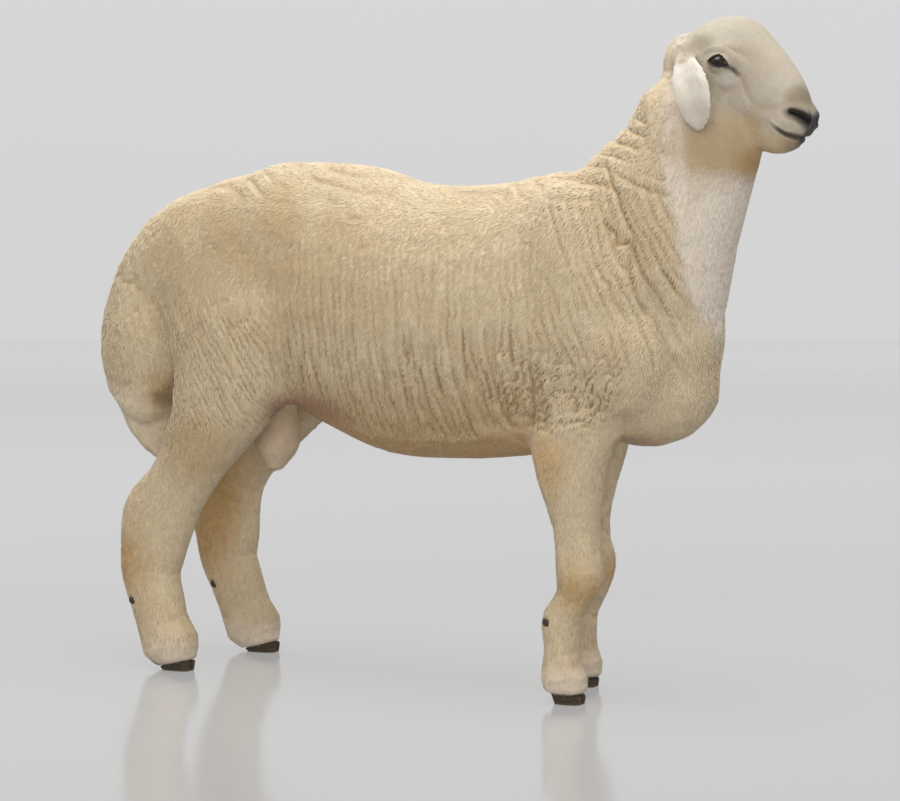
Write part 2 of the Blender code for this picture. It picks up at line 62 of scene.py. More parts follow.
# ---- Studio: floor, lights and camera ----
# A seamless pale sheet that runs level under the ram and curves up behind it, glossy enough to mirror the
# feet softly. Three large soft lights hang above the ram, at its right side and behind it.
SHEET_HALF_WIDTH = 13.0
SHEET_FRONT, SHEET_BACK, SHEET_HEIGHT, SHEET_CURVE = -10.0, 12.0, 9.0, 5.0
LIT_MIDDLE = Vector((0.0, 0.0, 0.5))
CAMERA_AT = Vector((2.34296, -4.23708, 0.82))
CAMERA_ALONG = Vector((-0.4848, 0.8746, 0.0)).normalized()
CAMERA_DOWN = math.radians(4.775)
CAMERA_LENS = 132.88


def tone(red, green, blue):
    """A colour as a shader takes it, from the numbers of a paint chart, 0 to 255."""
    share = np.array((red, green, blue)) / 255
    return (*np.where(share <= 0.04045, share / 12.92, ((share + 0.055) / 1.055) ** 2.4), 1.0)


def feed(node, inputs):
    """Gives a node's sockets their values, or links to the paint that is mixed for them."""
    for name, value in inputs.items():
        if isinstance(value, Paint):
            node.id_data.links.new(value.socket, node.inputs[name])
        else:
            node.inputs[name].default_value = value


class Paint:
    """One socket of a material that is being mixed. Sums on it become Math nodes."""

    def __init__(self, tree, socket=None):
        self.tree = tree
        self.socket = socket

    def node(self, kind, settings, inputs, output=0):
        """Adds a node: its settings first, then the values and links of its sockets."""
        made = self.tree.nodes.new(kind)
        for name, value in settings.items():
            setattr(made, name, value)
        feed(made, inputs)
        return Paint(self.tree, made.outputs[output])

    def parts(self, kind):
        """The three parts of a colour or of a place."""
        made = self.node(kind, {}, {0: self}).socket.node
        return [Paint(self.tree, made.outputs[index]) for index in range(3)]

    def math(self, operation, *values):
        return self.node("ShaderNodeMath", {"operation": operation}, dict(enumerate(values)))

    def __add__(self, other):
        return self.math("ADD", self, other)

    def __sub__(self, other):
        return self.math("SUBTRACT", self, other)

    def __mul__(self, other):
        return self.math("MULTIPLY", self, other)

    def __truediv__(self, other):
        return self.math("DIVIDE", self, other)

    def __pow__(self, other):
        return self.math("POWER", self, other)

    def __rsub__(self, other):
        return self.math("SUBTRACT", other, self)

    __radd__ = __add__
    __rmul__ = __mul__

    def within(self, low, high):
        """0 up to low, 1 from high on, and a straight slope between them."""
        limits = {"From Min": low, "From Max": high}
        return self.node("ShaderNodeMapRange", {}, {"Value": self, **limits})

    def place(self):
        return self.node("ShaderNodeTexCoord", {}, {}, "Object")

    def kept(self, name, output="Fac"):
        """A value that the piece's mesh carries."""
        return self.node("ShaderNodeAttribute", {"attribute_name": name}, {}, output)

    def grain(self, place, size, detail=2.0):
        """Soft random cloud with swells of the given size in metres."""
        inputs = {"Vector": place, "Scale": 1 / size, "Detail": detail}
        return self.node("ShaderNodeTexNoise", {}, inputs, "Fac")

    def mixed(self, share, first, second):
        inputs = {0: share, 6: first, 7: second}
        return self.node("ShaderNodeMix", {"data_type": "RGBA"}, inputs, 2)

    def raised(self, height, distance):
        inputs = {"Height": height, "Distance": distance, "Strength": 1.0}
        return self.node("ShaderNodeBump", {}, inputs)


def blank_material(name):
    """A new material, a Paint to mix it with, and the shader that it ends in."""
    material = bpy.data.materials.new(name)
    material.use_nodes = True
    return material, Paint(material.node_tree), material.node_tree.nodes["Principled BSDF"]


def finish_with(piece, material):
    piece.data.materials.clear()
    piece.data.materials.append(material)


def paper_material():
    """Smooth paper. A glow of its own, by distance back and by height, evens out what the lamps leave."""
    material, mix, shader = blank_material("pale_paper")
    place = mix.place()
    colour = mix.mixed(mix.grain(place, 1.8), tone(98, 98, 98), tone(102, 102, 102))
    height = place.parts("ShaderNodeSeparateXYZ")[2]
    away = {0: place, 1: tuple(CAMERA_ALONG)}
    away = mix.node("ShaderNodeVectorMath", {"operation": "DOT_PRODUCT"}, away, 1)
    glow = 0.650 - 0.050 * away.within(-0.5, 0.9) - 0.090 * away.within(3.0, 6.3)
    glow = glow - 0.080 * away.within(6.3, 7.0) + 0.090 * height.within(0.0, 0.03)
    glow = glow + 0.018 * height.within(0.0, 0.012) + 0.037 * height.within(0.0, 0.08)
    glow = glow - 0.343 * (1 + 12.5 * height) ** -1.0 + 0.020 * height.within(0.4, 1.3)
    looks = {"Base Color": colour, "Emission Color": glow, "Emission Strength": 1.0}
    feed(shader, {**looks, "Roughness": 0.14, "Specular IOR Level": 0.20})
    return material


def make_sheet():
    bpy.ops.object.select_all(action="DESELECT")
    bpy.ops.mesh.primitive_plane_add(size=1.0)
    sheet = bpy.context.object
    sheet.name = "floor"
    for corner in sheet.data.vertices:
        corner.co.x *= 2 * SHEET_HALF_WIDTH
        corner.co.y = SHEET_FRONT if corner.co.y < 0 else SHEET_BACK
    bpy.ops.object.mode_set(mode="EDIT")
    bpy.ops.mesh.select_mode(type="EDGE")
    bpy.ops.mesh.select_all(action="DESELECT")
    shape = bmesh.from_edit_mesh(sheet.data)
    for edge in shape.edges:
        edge.select = all(corner.co.y > SHEET_BACK - 0.1 for corner in edge.verts)
    bmesh.update_edit_mesh(sheet.data)
    lift = {"value": (0.0, 0.0, SHEET_HEIGHT)}
    bpy.ops.mesh.extrude_region_move(TRANSFORM_OT_translate=lift)
    bpy.ops.object.mode_set(mode="OBJECT")
    for corner in sheet.data.vertices:
        across, along = corner.co.x, corner.co.y
        corner.co.x = across * CAMERA_ALONG.y + along * CAMERA_ALONG.x
        corner.co.y = -across * CAMERA_ALONG.x + along * CAMERA_ALONG.y
    curve = sheet.modifiers.new("curve", "BEVEL")
    curve.width = SHEET_CURVE
    curve.segments = 40
    curve.angle_limit = math.radians(40)
    bpy.ops.object.modifier_apply(modifier="curve")
    bpy.ops.object.shade_smooth()
    finish_with(sheet, paper_material())


def placed(name, data):
    made = bpy.data.objects.new(name, data)
    bpy.context.scene.collection.objects.link(made)
    return made


def hang_light(name, place, size, power):
    data = bpy.data.lights.new(name, "AREA")
    data.shape = "DISK"
    data.size = size
    data.energy = power
    light = placed(name, data)
    light.location = place
    light.rotation_euler = (LIT_MIDDLE - Vector(place)).to_track_quat("-Z", "Y").to_euler()
    light.visible_camera = False
    return light


def set_camera():
    data = bpy.data.cameras.new("camera")
    data.lens = CAMERA_LENS
    data.sensor_width = 36.0
    data.clip_end = 60.0
    camera = placed("camera", data)
    look = CAMERA_ALONG * math.cos(CAMERA_DOWN) - Vector((0, 0, math.sin(CAMERA_DOWN)))
    camera.location = CAMERA_AT
    camera.rotation_euler = look.to_track_quat("-Z", "Y").to_euler()
    bpy.context.scene.camera = camera


def fill_air():
    world = bpy.data.worlds.new("air")
    world.use_nodes = True
    sky = world.node_tree.nodes["Background"]
    sky.inputs["Color"].default_value = (1.0, 1.0, 1.0, 1.0)
    sky.inputs["Strength"].default_value = 0.68
    bpy.context.scene.world = world
    bpy.context.scene.view_settings.view_transform = "Standard"


make_sheet()
hang_light("light_above", (0.1, -0.4, 3.4), size=2.4, power=63.0)
hang_light("light_side", (2.0, -4.2, 1.5), size=2.6, power=57.0).visible_glossy = False
hang_light("light_behind", (-2.8, 1.2, 2.6), size=2.2, power=32.0)
set_camera()
fill_air()

# ---- Skin: one hide over trunk, neck, head, tail, scrotum, legs and ears ----
# Living skin, under a fleece shorn short on trunk, neck and tail, and under flat hair elsewhere. It lies
# inside the solids by the coat's depth. Folds, lids, lips and the furrows of the shears are worked into it.
MIDLINE = -0.00208
SIDES = {"right": -1, "left": 1}
LIMBS = [f"{limb}_{word}" for limb in ("foreleg", "hindleg", "ear") for word in SIDES]
FLESH = ["trunk", "neck", "head", "tail", "scrotum", *LIMBS]
HIDE_CELL = 0.0034
HIDE_TRIANGLES = 188000
FURROW_DEPTH = 0.0036
WOOL_DEPTH, HAIR_DEPTH, FACE_DEPTH, EAR_DEPTH = 0.0030, 0.0016, 0.0010, 0.0006


def rows_of(items, field, wide, kind):
    flat = np.empty(len(items) * wide, kind)
    items.foreach_get(field, flat)
    return flat.reshape(-1, wide)


def set_rows(items, field, values, kind=np.float32):
    items.foreach_set(field, values.astype(kind).ravel())


def points_of(piece):
    return rows_of(piece.data.vertices, "co", 3, np.float32).astype(float)


def normals_of(piece):
    return rows_of(piece.data.vertex_normals, "vector", 3, np.float32).astype(float)


def edges_of(piece):
    return rows_of(piece.data.edges, "vertices", 2, np.int32)


def move_to(piece, points):
    set_rows(piece.data.vertices, "co", points)
    piece.data.update()


def unit(vectors):
    return vectors / np.maximum(np.linalg.norm(vectors, axis=-1, keepdims=True), 1e-9)


def ease(value, low, high):
    """0 up to low, 1 from high on, with a soft rise between. Low above high turns it round."""
    share = np.clip((value - low) / (high - low), 0, 1)
    return share * share * (3 - 2 * share)


def span(value, low, full, fade, high):
    """0 up to low and from high on, and 1 from full to fade."""
    return ease(value, low, full) * ease(value, high, fade)


def mm(*listed):
    """Places listed in millimetres, as an array in metres."""
    return np.array(listed, float) / 1000


def drift(points, size, seed):
    """Smooth wandering values from -1 to 1, with swells of the given size."""
    cell = points / size + 11.7 * seed
    corner = np.floor(cell).astype(np.int64)
    share = cell - corner
    share = share * share * (3 - 2 * share)
    total = np.zeros(len(points))
    for step in np.ndindex(2, 2, 2):
        at = corner + step
        mixed = (at[:, 0] * 73856093) ^ (at[:, 1] * 19349663) ^ (at[:, 2] * 83492791)
        mixed = ((mixed ^ (mixed >> 13)) * 1274126177) & 0xFFFFFFFF
        value = ((mixed ^ (mixed >> 15)) & 0xFFFF) / 32767.5 - 1
        total += value * np.where(step, share, 1 - share).prod(1)
    return total


def bell(off, width):
    """1 at nought, fading over the width to either side."""
    return np.exp(-((off / width) ** 2))


def blob(points, centre, reach):
    """1 at the centre, fading to nothing at the reach, which may differ along each axis."""
    away = (points - centre) / np.asarray(reach, float)
    return ease((away**2).sum(1), 1.0, 0.0)


def both_blobs(points, centre, reach):
    """The same on both sides of the ram. The centre is the right one."""
    over = (centre[0], 2 * MIDLINE - centre[1], centre[2])
    return np.maximum(blob(points, centre, reach), blob(points, over, reach))


def off_path(points, path):
    """Distance from each point to a path of straight runs."""
    path = np.asarray(path, float)
    least = np.full(len(points), np.inf)
    for start, end in zip(path[:-1], path[1:]):
        run = end - start
        share = np.clip((points - start) @ run / (run @ run), 0, 1)
        least = np.minimum(least, np.linalg.norm(points - start - share[:, None] * run, axis=1))
    return least


def tapered_line(points, path, width):
    """1 along a path's middle, fading over the width to each side and towards both its ends."""
    path = np.asarray(path, float)
    ends = np.minimum(
        np.linalg.norm(points - path[0], axis=1), np.linalg.norm(points - path[-1], axis=1)
    )
    return bell(off_path(points, path), width) * ease(ends, -width, 3 * width)


def wool_share(points, normals):
    """1 where the fleece grows, 0 where the ram has only short hair."""
    x, y, z = points.T
    waver = 0.006 * drift(points, 0.025, 3)
    heights = mm(400, 435, 506, 558, 603, 655, 690, 729, 766, 810, 845)
    fronts = mm(425, 432, 432, 412, 402, 402, 394, 384, 371, 352, 335)
    share = ease(np.interp(z, heights, fronts) - x + waver, -0.006, 0.010)
    share *= ease(z + waver, 0.862, 0.834)
    before = ease(x, 0.285, 0.32)
    lowest = np.where(x > 0.10, 0.392 + 0.045 * before, 0.30)
    lowest = np.where(x < -0.20, 0.372, lowest)
    lowest = np.where(x < -0.445, 0.425, lowest)
    share *= ease(z + waver - lowest, -0.010, 0.010)
    under = ease(normals[:, 2], -0.80, -0.60)
    share *= np.where(x < -0.445, 1.0, under)
    share *= 1 - both_blobs(points, (-0.175, -0.075, 0.400), (0.085, 0.085, 0.040))
    share *= 1 - both_blobs(points, (0.315, -0.030, 0.385), (0.05, 0.05, 0.05))
    between = ease(np.abs(y - MIDLINE), 0.035, 0.060)
    share *= np.where((x < -0.20) & (x > -0.43) & (z < 0.47), between, 1.0)
    return share


def ear_share(points):
    """1 on the hanging ears, 0 at their roots and elsewhere."""
    x, y, z = points.T
    low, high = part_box("ear_right")
    inside = (x > low.x - 0.004) & (x < high.x + 0.004)
    inside &= (z > low.z - 0.004) & (z < high.z + 0.002)
    edge = np.interp(z, (0.84, 0.88, 0.90), (0.080, 0.0765, 0.077))
    return inside * ease(np.abs(y - MIDLINE), edge, edge + 0.006)


def ridges(points, across, pitch, seed, along_share=0.72):
    """Furrows square to the direction across, one each pitch, wandering and broken as shears leave them."""
    across = np.asarray(across, float) / np.linalg.norm(across)
    wander = 0.55 * drift(points, 4.2 * pitch, seed) + 0.22 * drift(points, 1.6 * pitch, seed + 1)
    phase = points @ across / pitch + wander
    furrow = (0.5 + 0.5 * np.cos(2 * math.pi * phase)) ** 2
    along = np.cross(across, (0.0, 1.0, 0.0))
    squeezed = points - along_share * (points @ along)[:, None] * along
    broken = ease(drift(squeezed, 0.9 * pitch, seed + 2), -0.80, 0.20)
    return furrow * broken


# Single deep folds of the fleece, by their width and their path seen from the side.
FLEECE_FOLDS = (
    (0.0032, mm((280, 769), (311, 721), (322, 699), (337, 668))),
    (0.0032, mm((337, 657), (352, 620), (372, 583), (385, 548))),
    (0.0032, mm((335, 636), (348, 581), (361, 552))),
    (0.0032, mm((297, 684), (313, 668), (317, 653), (337, 659))),
    (0.0032, mm((378, 620), (394, 585))),
    (0.0030, mm((172, 532), (171, 483))),
    (0.0030, mm((199, 470), (197, 425), (186, 388))),
    (0.0030, mm((99, 532), (101, 490), (104, 452))),
    (0.0030, mm((130, 478), (137, 426))),
    (0.0030, mm((13, 509), (15, 478))),
    (0.0030, mm((58, 470), (63, 440))),
)


def furrow_depth(points, wool):
    """How deep the fleece lies in its furrows, from 0 on the crests to 1."""
    x, y, z = points.T
    flank = span(x, -0.26, -0.18, 0.19, 0.25)
    flank *= ease(z, 0.73, 0.54) * (0.45 + 0.55 * ease(z, 0.58, 0.44))
    shoulder = ease(x, 0.18, 0.24) * ease(z, 0.43, 0.50) * ease(z, 0.76, 0.70)
    nape = ease(z, 0.69, 0.74)
    elbow = span(x, 0.10, 0.16, 0.30, 0.36) * ease(z, 0.53, 0.46)
    thigh = span(x, -0.45, -0.42, -0.25, -0.20) * ease(z, 0.60, 0.53)
    tail = ease(x, -0.43, -0.46)
    back = ease(z, 0.56, 0.66) * (1 - nape) * (1 - 0.6 * shoulder)
    side = ease(np.abs(y - MIDLINE), 0.03, 0.08)
    depth = 1.15 * flank * side * ridges(points, (1, 0, 0.10), 0.0118, 11)
    depth += 0.55 * flank * side * ridges(points, (1, 0, 0.05), 0.0290, 15)
    depth += 0.62 * shoulder * side * ridges(points, (0.91, 0, 0.40), 0.0135, 21)
    depth += 0.85 * nape * ridges(points, (0.25, 0, 0.97), 0.021, 31, 0.5)
    waves = 0.34 * np.sin(2 * math.pi * ((x + 0.35 * z) / 0.023 + 0.8 * drift(points, 0.030, 44)))
    waves += (
        (0.94 * z - 0.34 * x) / 0.0115 + 0.60 * drift(points, 0.034, 41) + 0.30 * drift(points, 0.014, 43)
    )
    curls = (0.5 + 0.5 * np.cos(2 * math.pi * waves)) ** 1.6
    depth += 1.50 * elbow * (curls * ease(drift(points, 0.011, 42), -0.55, 0.15))
    depth += 0.70 * thigh * ridges(points, (0.87, 0, 0.50), 0.0090, 51)
    pits = ease(drift(points, 0.010, 61), 0.25, 0.85)
    depth += (0.35 * back + 0.35 * thigh + 0.45 * tail + 0.25 * flank) * pits
    depth += 0.30 * tail * ridges(points, (0.6, 0.7, 0.25), 0.012, 71)
    for width, path in FLEECE_FOLDS:
        depth += 1.3 * side * tapered_line(points[:, (0, 2)], path, width)
    return wool * np.clip(depth, 0, 1.5)


def relaxed(points, edges, passes, weight):
    """Each point drawn towards the middle of its neighbours, by its own weight."""
    points = points.copy()
    start, end = edges.T
    count = np.bincount(start, minlength=len(points)) + np.bincount(end, minlength=len(points))
    for _ in range(passes):
        for axis in range(3):
            line = points[:, axis]
            total = np.bincount(start, line[end], len(points)) + np.bincount(end, line[start], len(points))
            line += (total / count - line) * weight
    return points


def copy_of(node, name):
    """A copy of one of the model's solids, chosen for what is done next."""
    copy = placed(name, frame["nodes"][node].data.copy())
    copy.select_set(True)
    bpy.context.view_layer.objects.active = copy
    return copy


def fuse(piece, cell):
    """Merges loose triangles and lays one closed mesh of small even faces over them."""
    bpy.ops.object.mode_set(mode="EDIT")
    bpy.ops.mesh.select_all(action="SELECT")
    bpy.ops.mesh.remove_doubles(threshold=0.00002)
    bpy.ops.object.mode_set(mode="OBJECT")
    fused = piece.modifiers.new("fused", "REMESH")
    fused.mode = "VOXEL"
    fused.voxel_size = cell
    bpy.ops.object.modifier_apply(modifier="fused")


def join_flesh():
    """One closed mesh over copies of the flesh solids, with the eye sockets filled."""
    bpy.ops.object.select_all(action="DESELECT")
    for word in SIDES:
        low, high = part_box(f"eye_{word}")
        bpy.ops.mesh.primitive_uv_sphere_add(
            segments=32, ring_count=24, radius=(high.x - low.x) / 2 + 0.001, location=(low + high) / 2
        )
        bpy.ops.object.transform_apply(location=True)
    for ball in bpy.context.scene.objects:
        ball.select_set(ball.name.startswith("Sphere"))
    for node in FLESH:
        copy_of(node, "flesh")
    bpy.ops.object.join()
    hide = bpy.context.object
    hide.name = "skin"
    fuse(hide, HIDE_CELL)
    return hide


def split_edges(hide, chosen):
    """Halves the edges between chosen points, so that fine folds can be worked there."""
    shape = bmesh.new()
    shape.from_mesh(hide.data)
    edges = [edge for edge in shape.edges if all(chosen[corner.index] for corner in edge.verts)]
    bmesh.ops.subdivide_edges(shape, edges=edges, cuts=1, use_grid_fill=True)
    bmesh.ops.triangulate(shape, faces=[face for face in shape.faces if len(face.verts) > 4])
    shape.to_mesh(hide.data)
    shape.free()


def eye_centre(word):
    low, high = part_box(f"eye_{word}")
    return np.array((low + high) / 2), (high.x - low.x) / 2


def eye_axes(word):
    """Out of the socket, forward along the slit, and up across it."""
    out = unit(np.array((0.25, 0.96 * SIDES[word], 0.10)))
    slit = np.array((0.985, 0.0, -0.17))
    fore = unit(slit - (slit @ out) * out)
    up = np.cross(out, fore) * SIDES[word]
    return out, fore, up * np.sign(up[2])


# Half the slit's length and the height of each lid's rim over it, as angles at the eye's middle, and how far
# from there the lids and the brow are worked.
LID_HALF_LENGTH, UPPER_LID, LOWER_LID = 1.24, 0.70, 0.25
LID_REACH, BROW_REACH, RIM_REACH = 0.034, 0.044, 0.030


def lid_gap(points, word):
    """Distance outside the rim of the lids, below zero in the slit, and whether the upper lid is nearer."""
    centre, radius = eye_centre(word)
    out, fore, up = eye_axes(word)
    away = points - centre
    ahead = away @ out
    across = np.arctan2(away @ fore, ahead)
    above = np.arctan2(away @ up, ahead)
    share = np.abs(np.clip(across / LID_HALF_LENGTH, -1, 1))
    edge = np.where(above > 0, UPPER_LID * (1 - share**1.5), LOWER_LID * (1 - share**2.2))
    gap = (np.abs(above) - edge) * radius
    past = np.maximum(np.abs(across) - LID_HALF_LENGTH, 0) * radius
    gap = np.where(past > 0, np.hypot(past, above * radius), gap)
    gap += np.maximum(np.linalg.norm(away, axis=1) - radius - 0.002, 0)
    return np.where(ahead > 0.001, gap, 0.05), above > 0


def by_eye(points, word, reach):
    return np.linalg.norm(points - eye_centre(word)[0], axis=1) < reach


def shape_lids(points, word):
    centre, radius = eye_centre(word)
    gap, upper = lid_gap(points, word)
    away = points - centre
    reach = np.linalg.norm(away, axis=1)
    lid = radius + 0.0004 + 0.0016 * ease(gap, 0.0, 0.0022)
    lid = np.where(gap < 0, radius - 0.0035 * ease(-gap, 0.0, 0.0008), lid)
    held = ease(gap, 0.010, 0.003) * (reach < LID_REACH)
    wanted = reach + (lid - reach) * held
    out, fore, up = eye_axes(word)
    ring = np.hypot(away @ fore, 1.25 * (away @ up))
    crease = np.where(upper, 0.0014, 0.0009) * bell(ring - 0.0195, 0.0020)
    brow = np.where(upper, 0.0022, 0.0008) * bell(ring - 0.0250, 0.0046)
    wanted += (brow - crease) * ease(reach, BROW_REACH, LID_REACH) * (away @ out > 0)
    covers = (gap > 0.0010) & (gap < 0.020) & (reach < LID_REACH)
    wanted = np.where(covers, np.maximum(wanted, radius + 0.0007), wanted)
    return centre + away * (wanted / np.maximum(reach, 1e-6))[:, None]


# Folds of the face, by width, depth and path. A negative depth swells.
FACE_FOLDS = (
    (0.0056, 0.0017, mm((450, -64, 921), (461, -61, 920), (476, -52, 917), (492, -42, 908))),
    (0.0058, 0.0026, mm((470, -56, 892), (478, -50, 876), (483, -46, 858), (492, -43, 842))),
    (0.0056, 0.0018, mm((440, -61, 874), (454, -56, 864), (470, -51, 866))),
    (0.0064, 0.0013, mm((489, -43, 843), (512, -38, 839), (535, -36, 840))),
    (0.0090, -0.0034, mm((447, -59, 883), (462, -55, 880))),
    (0.0095, -0.0028, mm((522, -36, 829), (546, -32, 815))),
    (0.0080, 0.0014, mm((440, -54, 838), (478, -43, 830))),
    (0.0044, 0.0015, mm((503, -36, 826), (506, -36, 812))),
    (0.0110, 0.0026, mm((408, -62, 932), (424, -62, 921))),
    (0.0110, -0.0018, mm((438, -56, 936), (460, -52, 936))),
    (0.0120, -0.0014, mm((500, -40, 868), (530, -34, 856))),
    (0.0090, -0.0008, mm((487, -44, 900), (515, -36, 878))),
)
MOUTH = mm((509, 820.5), (523, 812), (535, 804.5), (549, 800), (560, 797.5), (580, 797.5))
NOSTRIL = mm((545, -35, 835), (554, -34, 832), (562, -28.5, 827), (566, -21, 822.5))
NOSE_PAD = mm((568, -17, 823), (566, -5, 817), (561, -3, 807), (556, -3, 799))
TEAR = mm((458.5, -63.5, 898), (465, -59.5, 895), (470, -56, 891.5), (474.5, -52.5, 886))


def folded(points):
    """The points with the left side laid over the right, so that one list of folds serves both."""
    over = points.copy()
    over[:, 1] = MIDLINE - np.abs(points[:, 1] - MIDLINE)
    return over


def shape_face(points, normals):
    x, y, _ = points.T
    half = folded(points)
    depth = np.zeros(len(points))
    for width, deep, path in FACE_FOLDS:
        depth += deep * tapered_line(half, path, width)
    on_muzzle = ease(x, 0.510, 0.521)
    lips = off_path(points[:, (0, 2)], MOUTH)
    depth += 0.0028 * on_muzzle * bell(lips, 0.0018)
    depth -= 0.0010 * on_muzzle * bell(lips - 0.0055, 0.0030)
    hole = off_path(half, NOSTRIL)
    wide = np.interp(half[:, 0], (0.545, 0.565), (0.0036, 0.0056))
    depth += 0.0072 * ease(hole / wide, 1.30, 0.10)
    depth -= 0.0011 * bell(hole - wide - 0.0030, 0.0024)
    depth += 0.0012 * bell(y - MIDLINE, 0.0016) * ease(x, 0.556, 0.562)
    return points - normals * depth[:, None]


def shape_ears(points, normals):
    """A rolled front edge and a shallow trough down the middle of each hanging ear."""
    ear = ear_share(points)
    points = points.copy()
    x, y, z = points.T
    middle = np.interp(z, mm(809, 839, 862, 884, 905), mm(434, 431, 425, 414, 407))
    broad = span(z, 0.808, 0.835, 0.880, 0.912)
    x += 0.0040 * ear * broad * np.clip((x - middle) / 0.022, 0, 1.2)
    outward = np.clip(normals[:, 1] * np.sign(y - MIDLINE), 0, 1)
    trough = bell(x - middle + 0.004, 0.012) * ease(z, 0.808, 0.835)
    rim = bell(x - middle - 0.022, 0.006)
    return points + normals * (ear * outward * (0.0012 * rim - 0.0034 * trough))[:, None]


EAR_LEVELS, EAR_TIP = 34, 0.040


def round_ears(points, ear):
    """Draws the outline of each ear smooth from root to rounded tip, level by level."""
    points = points.copy()
    for sign in SIDES.values():
        own = np.flatnonzero((ear > 0.5) & ((points[:, 1] - MIDLINE) * sign > 0))
        x, z = points[own, 0], points[own, 2]
        low, high = z.min(), z.max()
        levels = np.linspace(low, high, EAR_LEVELS)
        near = [np.abs(z - level) < 0.0035 for level in levels]
        edges = np.array([(x[row].min(), x[row].max()) for row in near])
        reach = np.minimum(np.arange(EAR_LEVELS), 6)
        smooth = edges
        for _ in range(3):
            smooth = np.array([smooth[max(0, i - r) : i + r + 1].mean(0) for i, r in enumerate(reach)])
        middle, half = smooth.mean(1), (smooth[:, 1] - smooth[:, 0]) / 2
        full = np.interp(low + EAR_TIP, levels, half)
        tip = np.clip((levels - low + 0.001) / EAR_TIP, 0, 1)
        half = np.where(tip < 1, full * np.sqrt(1 - (1 - tip) ** 2), half)
        was_middle, was_half = edges.mean(1), (edges[:, 1] - edges[:, 0]) / 2
        share = (x - np.interp(z, levels, was_middle)) / np.maximum(np.interp(z, levels, was_half), 0.002)
        moved = np.interp(z, levels, middle) + np.clip(share, -1.1, 1.1) * np.interp(z, levels, half)
        points[own, 0] += (moved - x) * ease(z, high - 0.004, high - 0.030)
    return points


def coat_depth(points, wool):
    """How far under the tips of the coat the skin lies."""
    depth = HAIR_DEPTH + (WOOL_DEPTH - HAIR_DEPTH) * wool
    face = ease(points[:, 0], 0.385, 0.42) * ease(points[:, 2], 0.735, 0.765)
    depth = depth + (FACE_DEPTH - depth) * face
    ear = ear_share(points)
    depth = depth + (EAR_DEPTH - depth) * ear
    return depth * (1 - 0.6 * ease(points[:, 2], 0.034, 0.018))


# Patches on both sides of the ram, each by its strength, centre and reach in millimetres.
STAINED = (
    (0.95, (250, -80, 168), (50, 60, 46)),
    (0.85, (218, -95, 345), (46, 50, 60)),
    (0.95, (-485, -110, 165), (45, 70, 52)),
    (0.70, (-465, -60, 215), (75, 60, 90)),
    (0.45, (-440, -75, 290), (80, 60, 80)),
    (0.80, (468, -2.08, 768), (50, 50, 34)),
    (0.60, (-440, -100, 405), (50, 60, 60)),
    (0.42, (-355, -140, 345), (85, 60, 75)),
)
ROSY = (
    (0.95, (-180, -100, 405), (100, 85, 36)),
    (0.55, (-235, -60, 385), (80, 55, 70)),
    (0.55, (318, -30, 385), (40, 50, 40)),
    (0.45, (175, -90, 378), (30, 60, 24)),
    (0.30, (-306, -2.08, 345), (60, 60, 70)),
)
SHADED = (
    (0.90, (-448, -105, 400), (18, 45, 35)),
    (0.26, (-270, -135, 660), (120, 90, 120)),
    (0.16, (330, -100, 640), (70, 90, 110)),
    (0.20, (-370, -150, 330), (80, 60, 70)),
)
# Patches of another hue in the hair, with their colour. The darker one at the temple is painted shade in its
# hollow.
HUES_AND_SHADE = (
    (0.8, (-306, -2.08, 345), (50, 60, 70), (236, 214, 186)),
    # Painted shade in the hollow of the temple.
    (1.0, (415, -60, 927), (34, 30, 22), (166, 158, 138)),
    (1.0, (458, -56, 880), (21, 25, 14), (211, 205, 192)),
    (0.6, (478, -50, 852), (32, 30, 22), (207, 199, 186)),
    (0.9, (553, -12, 853), (30, 45, 26), (139, 128, 105)),
)
# The crease between tail and thigh, darkened along its length as painted shade.
CREASE_OF_TAIL = mm((-448, -100, 408), (-444, -100, 350))


def patches(points, listed):
    return sum(share * both_blobs(points, mm(*centre), mm(*reach)) for share, centre, reach in listed)


def dark_skin_and_crease_shade(points):
    """1 where the skin is dark: nostrils, nose, lips, lids, tear lines and the hairline of the claws, and
    painted shade along the crease between tail and thigh.
    """
    x, _, z = points.T
    half = folded(points)
    inner = NOSTRIL + (-0.006, 0.006, -0.001)
    wide = np.interp(half[:, 0], (0.545, 0.565), (0.0060, 0.0100))
    lips = off_path(points[:, (0, 2)], MOUTH) / np.interp(x, (0.512, 0.552), (0.0018, 0.0058))
    sole = ease(x, -0.428, -0.440) * (x < -0.30) + ease(x, 0.220, 0.210) * (x > 0)
    dark = [
        ease(np.minimum(off_path(half, NOSTRIL), off_path(half, inner)) / wide, 1.95, 0.45),
        0.95 * ease(off_path(half, NOSE_PAD), 0.0215, 0.0085),
        0.85 * ease(x, 0.510, 0.528) * ease(lips, 1.6, 0.4),
        0.85 * ease(off_path(half, TEAR), 0.0058, 0.0016),
        0.55 * blob(points, (0.211, -0.088, 0.148), (0.010, 0.020, 0.010)),
        0.75 * ease(z, 0.021, 0.011) * sole,
        # Painted shade down the crease between tail and thigh.
        0.42 * ease(off_path(half, CREASE_OF_TAIL), 0.016, 0.003),
    ]
    for word in SIDES:
        dark.append(by_eye(points, word, RIM_REACH) * ease(lid_gap(points, word)[0], 0.0044, 0.0018))
    return np.max(dark, axis=0)


